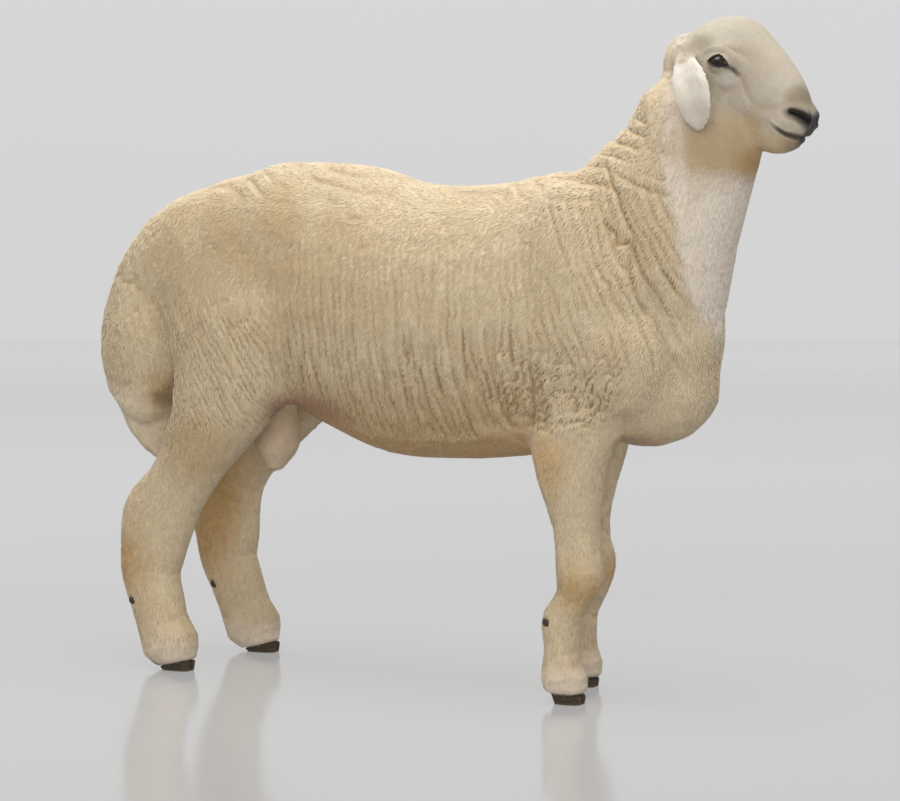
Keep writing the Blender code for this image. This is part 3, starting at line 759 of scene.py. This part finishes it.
def colour_marks(points, normals, wool, furrow):
    """Wool share, ochre stain with painted shade on the rump's sides, rosy skin, and dark skin with painted
    shade down the tail's crease at each point, and how deep it is shaded.
    """
    (x, _, z), upward = points.T, normals[:, 2]
    patchy = 0.5 + 0.5 * drift(points, 0.035, 81)
    stain_and_shade = patches(points, STAINED)
    rim_of_tail = ease(x, -0.43, -0.45) * ease(z, 0.455, 0.40)
    stain_and_shade += 0.20 * rim_of_tail * (0.15 + 0.85 * ease(z, 0.35, 0.305) + 0.5 * ease(z, 0.395, 0.43))
    stain_and_shade += 0.70 * ease(upward, -0.45, -0.85) * span(x, -0.24, -0.20, 0.16, 0.20) * (z > 0.30)
    # On the rump's sides the ochre stain is made stronger as painted shade, where those sides face away from
    # the light.
    rump = span(x, -0.50, -0.42, -0.20, 0.10) * ease(z, 0.45, 0.58) * ease(upward, 0.95, 0.60)
    stain_and_shade += 0.42 * wool * patchy * rump
    stain_and_shade += 0.11 * wool * patchy
    stain_and_shade += 0.24 * wool * ease(z, 0.49, 0.41) * span(x, -0.20, -0.14, 0.18, 0.24)
    stain_and_shade += 0.25 * ease(upward, -0.10, -0.60) * ease(z, 0.33, 0.35) * span(x, -0.24, -0.18, 0.20, 0.26)
    rosy = patches(points, ROSY)
    rosy += 0.10 * ease(upward, -0.55, -0.90) * span(z, 0.30, 0.32, 0.44, 0.47)
    rosy += 0.12 * ease(z, 0.11, 0.04)
    shade = 0.72 * furrow + patches(points, SHADED)
    for width, _, path in FACE_FOLDS[:4]:
        shade += 0.30 * tapered_line(folded(points), path, 1.1 * width)
    marks = np.stack([wool, stain_and_shade, rosy, dark_skin_and_crease_shade(points)], 1)
    return np.clip(marks, 0, 1), np.clip(shade, 0, 1)


def hair_hue(points):
    """The hair's colour: tan on the legs, cream on throat and crown, greyer and pinker down the face, with
    painted shade in the temples and painted light on the tail's lower part.
    """
    x, _, z = points.T
    ear = ear_share(points)
    hue = np.tile(tone(216, 196, 162), (len(points), 1))
    for share, colour in (
        (ease(z, 0.060, 0.030), (236, 221, 198)),
        (ease(x, 0.35, 0.40) * ease(z, 0.42, 0.50), (239, 226, 210)),
        # Paler cream on the tail's lower part: partly its own colour, partly painted light lifting the shade
        # that lies there.
        (ease(x, -0.43, -0.45) * ease(z, 0.29, 0.31), (246, 230, 200)),
        (span(z, 0.31, 0.33, 0.40, 0.43) * (np.abs(x) < 0.22), (232, 206, 164)),
        (ease(x, 0.38, 0.42) * ease(z, 0.735, 0.76), (196, 173, 138)),
        (ease(x, 0.38, 0.42) * ease(z, 0.815, 0.85), (198, 186, 168)),
        (ease(x, 0.49, 0.515) * ease(z, 0.795, 0.81), (197, 186, 169)),
        (ease(z, 0.905, 0.955), (197, 190, 173)),
        *((patches(points, [patch]), colour) for *patch, colour in HUES_AND_SHADE),
        (ease(x, 0.515, 0.54) * ease(z, 0.800, 0.790), (150, 132, 108)),
        (ear, (232, 225, 212)),
        (ear * ease(z, 0.87, 0.83), (204, 196, 183)),
    ):
        hue += (np.array(tone(*colour)) - hue) * np.clip(share, 0, 1)[:, None]
    return hue


def keep_value(piece, name, values):
    kind, field = ("FLOAT", "value") if values.ndim == 1 else ("FLOAT_COLOR", "color")
    set_rows(piece.data.attributes.new(name, kind, "POINT").data, field, values)


def pelt_material(name, strands):
    """Skin and coat alike, by their marks. Strands are darker towards the root, painted shade down among
    them, and each differs a little.
    """
    material, mix, shader = blank_material(name)
    place = mix.place()
    wool, stain_and_shade, rosy = mix.kept("marks", "Color").parts("ShaderNodeSeparateColor")
    dark = mix.kept("marks", "Alpha")
    broad = mix.grain(place, 0.060)
    mottle = mix.grain(place, 0.009, 3.0)
    fine = mix.grain(place, 0.0022, 2.0)
    hair = mix.mixed(mottle.within(0.3, 0.7) * 0.16, mix.kept("hue", "Color"), tone(150, 124, 88))
    hair = mix.mixed(broad.within(0.35, 0.7) * 0.10, hair, tone(190, 158, 118))
    fleece = mix.mixed(mottle.within(0.3, 0.7), tone(214, 194, 157), tone(231, 213, 180))
    fleece = mix.mixed(broad.within(0.35, 0.7) * 0.5, fleece, tone(216, 191, 152))
    colour = mix.mixed(wool, hair, fleece)
    colour = mix.mixed(stain_and_shade * (0.45 + 0.9 * mottle) * 0.85, colour, tone(186, 142, 76))
    colour = mix.mixed(rosy * (0.55 + 0.5 * broad), colour, tone(150, 98, 68))
    colour = mix.mixed(mix.kept("shade") * (0.62 + 0.4 * fine), colour, tone(146, 114, 75))
    if strands:
        # Darker towards each strand's root: painted shade down among the strands.
        colour = mix.mixed((1 - mix.kept("tip")) * 0.14, colour, tone(150, 120, 82))
        colour = mix.mixed(mix.kept("strand") * 0.12, colour, tone(248, 236, 212))
    colour = mix.mixed(dark, colour, tone(22, 15, 10))
    bump = mix.raised(fine * 0.6 + mottle * wool, 0.0007)
    feed(shader, {"Base Color": colour, "Roughness": 0.86 - 0.26 * dark, "Normal": bump})
    feed(shader, {"Specular IOR Level": 0.22, "Sheen Weight": 0.12, "Sheen Roughness": 0.6})
    return material


SMOOTH_PASSES, SMOOTH_IN, SMOOTH_OUT = 70, 0.5, -0.52

hide = join_flesh()
points, edges = points_of(hide), edges_of(hide)
ear = ear_share(points)
leg = ease(points[:, 2], 0.40, 0.34) * (1 - blob(points, (-0.305, MIDLINE, 0.34), (0.075, 0.075, 0.080)))
face = ease(points[:, 0], 0.36, 0.41) * ease(points[:, 2], 0.74, 0.78)
points = round_ears(points, ear)
own = np.flatnonzero(ear > 0.02)
index = np.full(len(points), -1)
index[own] = np.arange(len(own))
near = index[edges]
near = near[(near >= 0).all(1)]
for _ in range(SMOOTH_PASSES):
    for pull in (SMOOTH_IN, SMOOTH_OUT):
        points[own] = relaxed(points[own], near, 1, pull * ear[own])
points = relaxed(points, edges, 5, 0.5 * (1 - 0.8 * ear))
points = relaxed(points, edges, 14, 0.5 * (1 - np.maximum(np.maximum(ear, 0.8 * leg), 0.9 * face)))
move_to(hide, points)
normals = normals_of(hide)
wool = wool_share(points, normals)
points = points - normals * coat_depth(points, wool)[:, None]
move_to(hide, points)

# Finer faces for the small folds: twice over round the eyes, nose and mouth, and once on face and ears.
for reach, muzzle, once in ((0.036, 0.500, True), (0.026, 0.502, False)):
    points = points_of(hide)
    chosen = (points[:, 0] > muzzle) & (points[:, 2] > 0.77)
    for word in SIDES:
        chosen |= by_eye(points, word, reach)
    if once:
        chosen |= ear_share(points) > 0.02
        chosen |= (points[:, 0] > 0.425) & (points[:, 2] > 0.80)
    split_edges(hide, chosen)
points, edges = points_of(hide), edges_of(hide)
weight = 0.5 * ease(points[:, 0], 0.40, 0.43) * (points[:, 2] > 0.75) * (1 - ear_share(points))
points = relaxed(points, edges, 6, weight)
move_to(hide, points)
points = shape_face(points, normals_of(hide))
move_to(hide, points)
points = shape_ears(points, normals_of(hide))
for word in SIDES:
    points = shape_lids(points, word)
move_to(hide, points)
normals = normals_of(hide)
furrow = furrow_depth(points, wool_share(points, normals))
points = points - normals * (FURROW_DEPTH * furrow)[:, None]
move_to(hide, points)

# Fewer faces where the hide is plain, on the body, and nearly all of them kept on face and ears.
plain = hide.vertex_groups.new(name="plain")
coarse = 1 - ease(points[:, 0], 0.40, 0.43) * (points[:, 2] > 0.76)
worn = ear_share(points) < 0.02
for level in range(5):
    members = np.flatnonzero(worn & ((coarse * 4.999).astype(int) == level))
    if len(members):
        plain.add(members.tolist(), 0.02 + level / 4 * 0.98, "REPLACE")
hide.data.calc_loop_triangles()
fewer = hide.modifiers.new("fewer", "DECIMATE")
fewer.ratio = min(1.0, HIDE_TRIANGLES / len(hide.data.loop_triangles))
fewer.vertex_group = "plain"
fewer.vertex_group_factor = 0.6
bpy.ops.object.modifier_apply(modifier="fewer")
hide.vertex_groups.clear()
bpy.ops.object.shade_smooth()
points, normals = points_of(hide), normals_of(hide)
wool = wool_share(points, normals)
furrow = furrow_depth(points, wool)
marks, shade = colour_marks(points, normals, wool, furrow)
kept_on_hide = {"marks": marks, "hue": hair_hue(points), "shade": shade}
for word, values in kept_on_hide.items():
    keep_value(hide, word, values)
finish_with(hide, pelt_material("hide", False))
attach(hide, "root")
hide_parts(*FLESH)

# ---- Eyes ----
# Each eye is a wet dark ball that bulges in front, where a brown iris lies round a level slit of a pupil. It
# sits in its socket under the lids.
BULGE_HALF_ANGLE, BULGE_HEIGHT = 0.72, 0.0013


def eye_material():
    """Brown iris round a level pupil, and a dark rim before the white, on a map that faces ahead."""
    material, mix, shader = blank_material("wet_eye")
    flat = mix.node("ShaderNodeUVMap", {"uv_map": "sight"}, {})
    across, above, _ = flat.parts("ShaderNodeSeparateXYZ")
    across, above = across - 0.5, above - 0.5
    far = (across * across + above * above) ** 0.5
    slit = ((across / 0.155) ** 2 + (above / 0.062) ** 2) ** 0.5
    ray = mix.node("ShaderNodeVectorMath", {"operation": "NORMALIZE"}, {0: flat})
    spokes = mix.grain(ray, 0.05, 4.0)
    iris = mix.mixed(spokes, tone(26, 18, 12), tone(44, 30, 18))
    iris = mix.mixed(far.within(0.25, 0.34), iris, tone(20, 14, 10))
    colour = mix.mixed(slit.within(1.1, 0.9), iris, tone(4, 4, 5))
    white = mix.mixed(spokes, tone(34, 25, 19), tone(52, 40, 31))
    colour = mix.mixed(far.within(0.36, 0.44), colour, white)
    feed(shader, {"Base Color": colour, "Roughness": 0.16, "Specular IOR Level": 0.28})
    feed(shader, {"Coat Weight": 0.14, "Coat Roughness": 0.02})
    return material


def make_eye(word, material):
    centre, radius = eye_centre(word)
    out, fore, up = eye_axes(word)
    bpy.ops.object.select_all(action="DESELECT")
    bpy.ops.mesh.primitive_uv_sphere_add(segments=48, ring_count=32, radius=radius)
    eye = bpy.context.object
    eye.name = f"wet_eye_{word}"
    points = points_of(eye)
    lean = np.arccos(np.clip(points[:, 2] / radius, -1, 1))
    lift = BULGE_HEIGHT * ease(lean, BULGE_HALF_ANGLE, 0.0)
    points *= 1 + lift[:, None] / radius - 0.02
    turned = points[:, :1] * fore + points[:, 1:2] * np.cross(out, fore) + points[:, 2:] * out
    sight = eye.data.uv_layers.new(name="sight")
    corners = rows_of(eye.data.loops, "vertex_index", 1, np.int32)[:, 0]
    flat = np.stack([turned @ fore, turned @ up], 1) / (2 * radius) + 0.5
    set_rows(sight.uv, "vector", flat[corners])
    move_to(eye, turned + centre)
    eye.data.uv_layers.remove(eye.data.uv_layers[0])
    bpy.ops.object.shade_smooth()
    finish_with(eye, material)
    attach(eye, "root")
    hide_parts(f"eye_{word}")


wet_eye = eye_material()
for word in SIDES:
    make_eye(word, wet_eye)

# ---- Claws and dewclaws ----
# Two claws of dark horn close each foot, grown in rings that follow the hairline and worn level underneath.
# Two small blunt dewclaws sit behind each fetlock. Each is set up into the hair.
RING_PITCH, RING_HEIGHT = 0.0036, 0.00022
CLAW_CELL, DEWCLAW_CELL = 0.0013, 0.0008


def horn_material():
    """Bands along the rings, fine streaks down the wall, and a paler worn edge at the floor."""
    material, mix, shader = blank_material("claw_horn")
    place = mix.place()
    flat = mix.node("ShaderNodeMapping", {}, {"Vector": place, "Scale": (1.0, 1.0, 3.2)})
    tall = mix.node("ShaderNodeMapping", {}, {"Vector": place, "Scale": (1.0, 1.0, 0.2)})
    bands, streaks = mix.grain(flat, 0.010, 3.0), mix.grain(tall, 0.0022)
    height = place.parts("ShaderNodeSeparateXYZ")[2]
    colour = mix.mixed(bands.within(0.3, 0.7), tone(44, 35, 27), tone(74, 60, 44))
    colour = mix.mixed(streaks.within(0.5, 0.8) * 0.5, colour, tone(104, 86, 62))
    colour = mix.mixed(height.within(0.0035, 0.0) * 0.55, colour, tone(120, 102, 78))
    bump = mix.raised(streaks + bands * 0.5, 0.0003)
    feed(shader, {"Base Color": colour, "Roughness": 0.42 + 0.35 * bands, "Normal": bump})
    return material


def make_claw(node, cell, material):
    """A finer copy of a claw's solid, with its edges worn round and rings grown into its wall."""
    bpy.ops.object.select_all(action="DESELECT")
    claw = copy_of(node, f"horn_{node}")
    fuse(claw, cell)
    points = relaxed(points_of(claw), edges_of(claw), 9, np.full(len(claw.data.vertices), 0.5))
    move_to(claw, points)
    normals = normals_of(claw)
    low, high = points.min(0), points.max(0)
    slope = (points[:, 0] - low[0]) / (high[0] - low[0])
    line = points[:, 2] - 0.30 * slope * (high[2] - low[2]) + 0.0006 * drift(points, 0.012, 91)
    ring = np.cos(2 * math.pi * line / RING_PITCH) * (1 - np.abs(normals[:, 2]))
    points += normals * (RING_HEIGHT * ring)[:, None]
    if low[2] < 0.004:
        points[:, 2] *= 1.12 - 0.26 * np.abs(2 * slope - 1) ** 2.6
        points[:, 2] = np.where(points[:, 2] < low[2] + 0.0011, 0.0, points[:, 2])
    else:
        points = (low + high) / 2 + 0.82 * (points - (low + high) / 2)
    move_to(claw, points)
    bpy.ops.object.shade_smooth()
    finish_with(claw, material)
    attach(claw, "root")
    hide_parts(node)


claw_horn = horn_material()
for node in sorted(frame["nodes"]):
    if "claw" in node:
        make_claw(node, DEWCLAW_CELL if "dewclaw" in node else CLAW_CELL, claw_horn)

# ---- Coat: shorn wool and short hair ----
# Wool is a dense pile of short crimped locks that lean back and down and curl over at the tip, low in the
# furrows. The hair of legs, throat and belly and the down of face and ears are short and flat. Each tuft is
# one small closed lock or blade, rooted in the skin.
WOOL_SPACING, HAIR_SPACING, DOWN_SPACING = 0.0036, 0.0033, 0.0019
PATCH = 0.003  # how wide each tuft's patch of the baked map is
SUNK = 0.0006  # how deep a root sits in the skin, and how low a tuft may hang over the floor
FEWEST = 30  # a part of the body with fewer tufts of a kind than this goes without that piece
THROWS, CELL_SHARE = 2.4, 0.80  # roots thrown on each cell of skin, and the thinning cell, by the spacing
SEED = 20
dice = np.random.default_rng(SEED)


def coat_lie(points, normals):
    """The way the coat lies: back from the muzzle, down the neck and legs, back and down over the trunk."""
    x, _, z = points.T
    way = np.tile((-0.35, 0.0, -1.0), (len(points), 1))
    head = ease(x, 0.40, 0.43) * ease(z, 0.745, 0.78)
    for share, lean in (
        (ease(z, 0.62, 0.72) * ease(normals[:, 2], 0.2, 0.8), (-1.0, 0.0, -0.2)),
        (ease(normals[:, 2], -0.5, -0.9), (-1.0, 0.0, 0.0)),
        (ease(x, 0.24, 0.32) * ease(z, 0.50, 0.62), (-0.35, 0.0, -1.0)),
        (ease(x, -0.40, -0.46) * ease(z, 0.27, 0.30), (0.05, 0.0, -1.0)),
        (span(x, -0.46, -0.42, -0.25, -0.19) * ease(z, 0.60, 0.53), (0.42, 0.0, -1.0)),
        (ease(z, 0.38, 0.30) * (x > 0), (-0.06, 0.0, -1.0)),
        (ease(z, 0.36, 0.30) * (x < -0.2), (-0.25, 0.0, -1.0)),
        (head, (-0.95, 0.0, -0.10)),
        (head * ease(normals[:, 2], 0.0, 0.5), (-0.88, 0.0, 0.47)),
        (ear_share(points), (0.10, 0.0, -1.0)),
    ):
        way += (np.array(lean) - way) * np.clip(share, 0, 1)[:, None]
    way -= normals * (way * normals).sum(1)[:, None]
    return unit(way + 1e-6)


def sow(spacing, share):
    """Roots thrown on the skin and thinned to one a cell: their face, and their place within it."""
    wanted = hide_areas * share[hide_faces].mean(1) * THROWS / spacing**2
    counts = np.floor(wanted + dice.random(len(hide_faces))).astype(int)
    face = np.repeat(np.arange(len(hide_faces)), counts)
    first, second = dice.random((2, len(face)))
    over = first + second > 1
    first, second = np.where(over, 1 - first, first), np.where(over, 1 - second, second)
    weights = np.stack([1 - first - second, first, second], 1)
    cell = np.floor(at_roots(points, face, weights) / (CELL_SHARE * spacing)).astype(np.int64)
    key = (cell[:, 0] * 4096 + cell[:, 1] + 2048) * 4096 + cell[:, 2]
    _, kept = np.unique(key, return_index=True)
    return face[kept], weights[kept]


def at_roots(values, face, weights):
    corners = values[hide_faces[face]]
    return (corners * weights.reshape(weights.shape + (1,) * (corners.ndim - 2))).sum(1)


def unrolled(roots, centre, axis):
    """Each root's place, 0 to 1 both ways, on the skin unrolled round the axis of its part of the body."""
    axis = unit(np.array(axis, float))
    aside = unit(np.cross(axis, (0.0, 1.0, 0.0)))
    other = np.cross(axis, aside)
    away = roots - centre
    flat = np.stack([np.arctan2(away @ other, -(away @ aside)), away @ axis], 1)
    low, high = flat.min(0), flat.max(0)
    return 0.006 + 0.988 * (flat - low) / np.maximum(high - low, 1e-6)


# The two kinds of tuft: faces, corners on the baked map, how near the tip and to which side each corner is,
# and which faces are lit as the coat's outside.
LOCK = (
    (
        *((0, 1, 2), (1, 0, 3), (1, 3, 4), (2, 1, 4), (2, 4, 5)),
        *((0, 2, 5), (0, 5, 3), (4, 3, 6), (5, 4, 6), (3, 5, 6)),
    ),
    ((-0.5, -0.5), (0.5, -0.5), (0, -0.4), (-0.45, 0.05), (0.45, 0.05), (0, 0.1), (0, 0.5)),
    (0, 0, 0.1, 0.5, 0.5, 0.7, 1.0),
    (-1, 1, 0, -1, 1, 0, 0),
    (0, 0, 0, 1, 1, 1, 1, 0, 1, 1),
)
BLADE = (
    ((0, 1, 2), (1, 0, 3), (2, 1, 3), (0, 2, 3)),
    ((-0.5, -0.5), (0.5, -0.5), (0, -0.4), (0, 0.5)),
    (0, 0, 0.2, 1.0),
    (-1, 1, 0, 0),
    (0, 0, 1, 1),
)


def corners_of(kind, roots, lie, out, size):
    """The corners of each tuft: a blade is one spike, and a lock is bent and curled halfway along."""
    length, width, thick, rise, droop, curl = size[:, :, None]
    side = np.cross(lie, out)
    start = roots - out * SUNK
    base = [start - side * width * 0.45, start + side * width * 0.45, start + out * thick]
    if kind is BLADE:
        return np.stack([*base, roots + lie * length + out * rise + side * curl], 1)
    middle = roots + lie * length * 0.46 + out * rise + side * curl * 0.4
    tip = roots + lie * length + out * rise * droop + side * curl
    bend = [middle - side * width * 0.5, middle + side * width * 0.5, middle + out * thick, tip]
    return np.stack([*base, *bend], 1)


def grow(name, kind, roots, lie, out, size, kept, flat, material, slot):
    """One joined piece of tufts. Size is the length, width, thickness, rise, droop and curl of each."""
    faces_each, map_each, tips, sides, upper = (np.array(part) for part in kind)
    corners = corners_of(kind, roots, lie, out, size)
    corners[:, :, 2] = np.maximum(corners[:, :, 2], SUNK)
    count, most = corners.shape[:2]
    faces = (faces_each[None] + most * np.arange(count)[:, None, None]).reshape(-1)
    mesh = bpy.data.meshes.new(name)
    mesh.vertices.add(count * most)
    set_rows(mesh.vertices, "co", corners)
    mesh.loops.add(len(faces))
    set_rows(mesh.loops, "vertex_index", faces, np.int32)
    mesh.polygons.add(len(faces) // 3)
    set_rows(mesh.polygons, "loop_start", np.arange(0, len(faces), 3), np.int32)
    set_rows(mesh.polygons, "use_smooth", np.ones(len(faces) // 3), bool)
    mesh.update(calc_edges=True)
    round_off = 0.40 * np.cross(lie, out)[:, None] * sides[None, :, None]
    soft = unit(out[:, None] + round_off + 0.15 * lie[:, None] * tips[None, :, None])
    first, second, third = (corners[:, faces_each[:, index]] for index in range(3))
    square = unit(np.cross(second - first, third - first))[:, :, None]
    soft = np.where(upper[None, :, None, None] == 1, soft[:, faces_each], square)
    set_rows(mesh.attributes.new("custom_normal", "FLOAT_VECTOR", "CORNER").data, "vector", soft)
    spread = (flat[:, None] + PATCH * map_each[None]).reshape(-1, 2)
    set_rows(mesh.uv_layers.new(name="OFBake").uv, "vector", spread[faces])
    piece = placed(name, mesh)
    for word, values in kept.items():
        keep_value(piece, word, np.repeat(values, most, axis=0))
    keep_value(piece, "tip", np.tile(tips, count))
    keep_value(piece, "strand", np.repeat(dice.random(count), most))
    finish_with(piece, material)
    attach(piece, "root")


def zones_of(roots):
    """The parts of the body, each with its roots and the middle and axis that its skin unrolls round."""
    x, y, z = roots.T
    right = y < MIDLINE
    off = np.abs(y - MIDLINE)
    head = (x > 0.36) & (z > 0.92 - 0.9 * (x - 0.36)) & (z > 0.745)
    tail = (x < -0.435) & (z > 0.285) & ((off < 0.085) | (z > 0.40))
    sac = (x > -0.36) & (x < -0.26) & (off < 0.045) & (z < 0.40) & (z > 0.28)
    foreleg = (x > 0.10) & (x < 0.34) & (z < 0.40)
    upright, level, middle = (0, 0, 1), (1, 0, 0), 1000 * MIDLINE
    for zone, inside, axis, *centres in (
        ("ear", ear_share(roots) > 0.5, upright, (410, -85, 860), (410, 80, 860)),
        ("head", head, (0.883, 0, -0.469), (460, middle, 865)),
        ("neck", (x > 0.20) & (z > 0.60), (-0.35, 0, -0.94), (320, middle, 700)),
        ("tail", tail, upright, (-495, middle, 500)),
        ("scrotum", sac, upright, (-306, middle, 350)),
        ("hindleg", (x < -0.20) & (z < 0.40), upright, (-400, -100, 200), (-400, 100, 200)),
        ("foreleg", foreleg, upright, (245, -80, 200), (205, 70, 200)),
        ("rump", x < -0.20, level, (-300, middle, 560), (-300, middle, 560)),
        ("flank", x < 0.13, level, (0, middle, 540), (0, middle, 540)),
        ("shoulder", x > -1, level, (250, middle, 540), (250, middle, 540)),
    ):
        if len(centres) == 1:
            yield zone, inside, mm(*centres[0]), axis
        else:
            yield f"{zone}_right", inside & right, mm(*centres[0]), axis
            yield f"{zone}_left", inside & ~right, mm(*centres[1]), axis


def spun(lie, out, swirl, spread):
    """The lie turned about the skin's normal, by the swirl and at random."""
    angle = (swirl + spread * dice.standard_normal(len(lie)))[:, None]
    return lie * np.cos(angle) + np.cross(out, lie) * np.sin(angle)


def wool_sizes(roots, furrow):
    """Short even locks on back, rump and upper flank, and longer ones low on the sides and on the neck."""
    crest = 1 - 0.8 * np.clip(furrow, 0, 1)
    vary = 0.75 + 0.5 * dice.random((5, len(roots)))
    fine = ease(roots[:, 2], 0.50, 0.62) * ease(roots[:, 0], 0.26, 0.16)
    length = (0.0080 - 0.0012 * fine) * vary[0]
    width = (0.0022 - 0.0005 * fine) * vary[1]
    thick = (0.0008 - 0.0002 * fine) * vary[2]
    rise = (0.0004 + (0.0010 - 0.0003 * fine) * crest) * vary[3]
    droop = 0.9 * vary[4] - 0.25
    curl = 0.0013 * dice.standard_normal(len(roots))
    return np.stack([length, width, thick, rise, droop, curl])


def face_share(points):
    return ease(points[:, 0], 0.36, 0.41) * ease(points[:, 2], 0.74, 0.77)


def hair_sizes(roots):
    """Short flat hair, finer on ears and face, finest on the muzzle, and shorter over the claws."""
    vary = 0.75 + 0.5 * dice.random((5, len(roots)))
    head = face_share(roots)
    muzzle = ease(roots[:, 0], 0.48, 0.53) * head
    ear = ear_share(roots)
    fine = np.maximum(head * 0.40 + muzzle * 0.25, ear * 0.55)
    low = ease(roots[:, 2], 0.045, 0.020)
    length = 0.0080 * (1 - fine) * (1 - 0.35 * low) * (1 - 0.3 * ear) * vary[0]
    width = 0.0014 * (1 - 0.6 * fine) * vary[1]
    thick = 0.00050 * (1 - 0.6 * fine) * vary[2]
    rise = 0.0010 * (1 - 0.6 * fine) * (1 - 0.6 * ear) * vary[3]
    curl = 0.0005 * dice.standard_normal(len(roots))
    return np.stack([length, width, thick, rise, vary[4], curl])


hide.data.calc_loop_triangles()
hide_faces = rows_of(hide.data.loop_triangles, "vertices", 3, np.int32)
edge_one = points[hide_faces[:, 1]] - points[hide_faces[:, 0]]
edge_two = points[hide_faces[:, 2]] - points[hide_faces[:, 0]]
hide_areas = np.linalg.norm(np.cross(edge_one, edge_two), axis=1) / 2
face_area = face_share(points)
bare = marks[:, 3] > 0.4
for word in SIDES:
    bare |= by_eye(points, word, RIM_REACH) & (lid_gap(points, word)[0] < 0.0016)
off_floor = points[:, 2] > 0.004
wool_coat, hair_coat = pelt_material("wool_tufts", True), pelt_material("hair_tufts", True)
coats = (
    ("wool", LOCK, WOOL_SPACING, wool, wool_coat, "fleece"),
    ("hair", BLADE, HAIR_SPACING, (1 - wool) * (1 - face_area) * off_floor, hair_coat, "hair"),
    ("down", BLADE, DOWN_SPACING, (1 - wool) * face_area * ~bare, hair_coat, "hair"),
)
for coat, kind, spacing, share, material, slot in coats:
    face, weights = sow(spacing, np.where(share > 0.04, share, 0.0))
    roots = at_roots(points, face, weights)
    out = unit(at_roots(normals, face, weights))
    kept = {word: at_roots(values, face, weights) for word, values in kept_on_hide.items()}
    if kind is LOCK:
        front = 0.25 + 0.35 * ease(roots[:, 0], 0.05, 0.20)
        lie = spun(coat_lie(roots, out), out, front * drift(roots, 0.013, 101), 0.22)
        sizes = wool_sizes(roots, at_roots(furrow, face, weights))
    else:
        lie = spun(coat_lie(roots, out), out, 0.12 * drift(roots, 0.030, 102), 0.11)
        sizes = hair_sizes(roots)
    free = np.ones(len(roots), bool)
    for zone, inside, centre, axis in zones_of(roots):
        own = np.flatnonzero(free & inside)
        free[own] = False
        if len(own) >= FEWEST:
            flat = unrolled(roots[own], centre, axis)
            own_kept = {word: values[own] for word, values in kept.items()}
            tufts = kind, roots[own], lie[own], out[own], sizes[:, own], own_kept
            grow(f"{coat}_{zone}", *tufts, flat, material, slot)
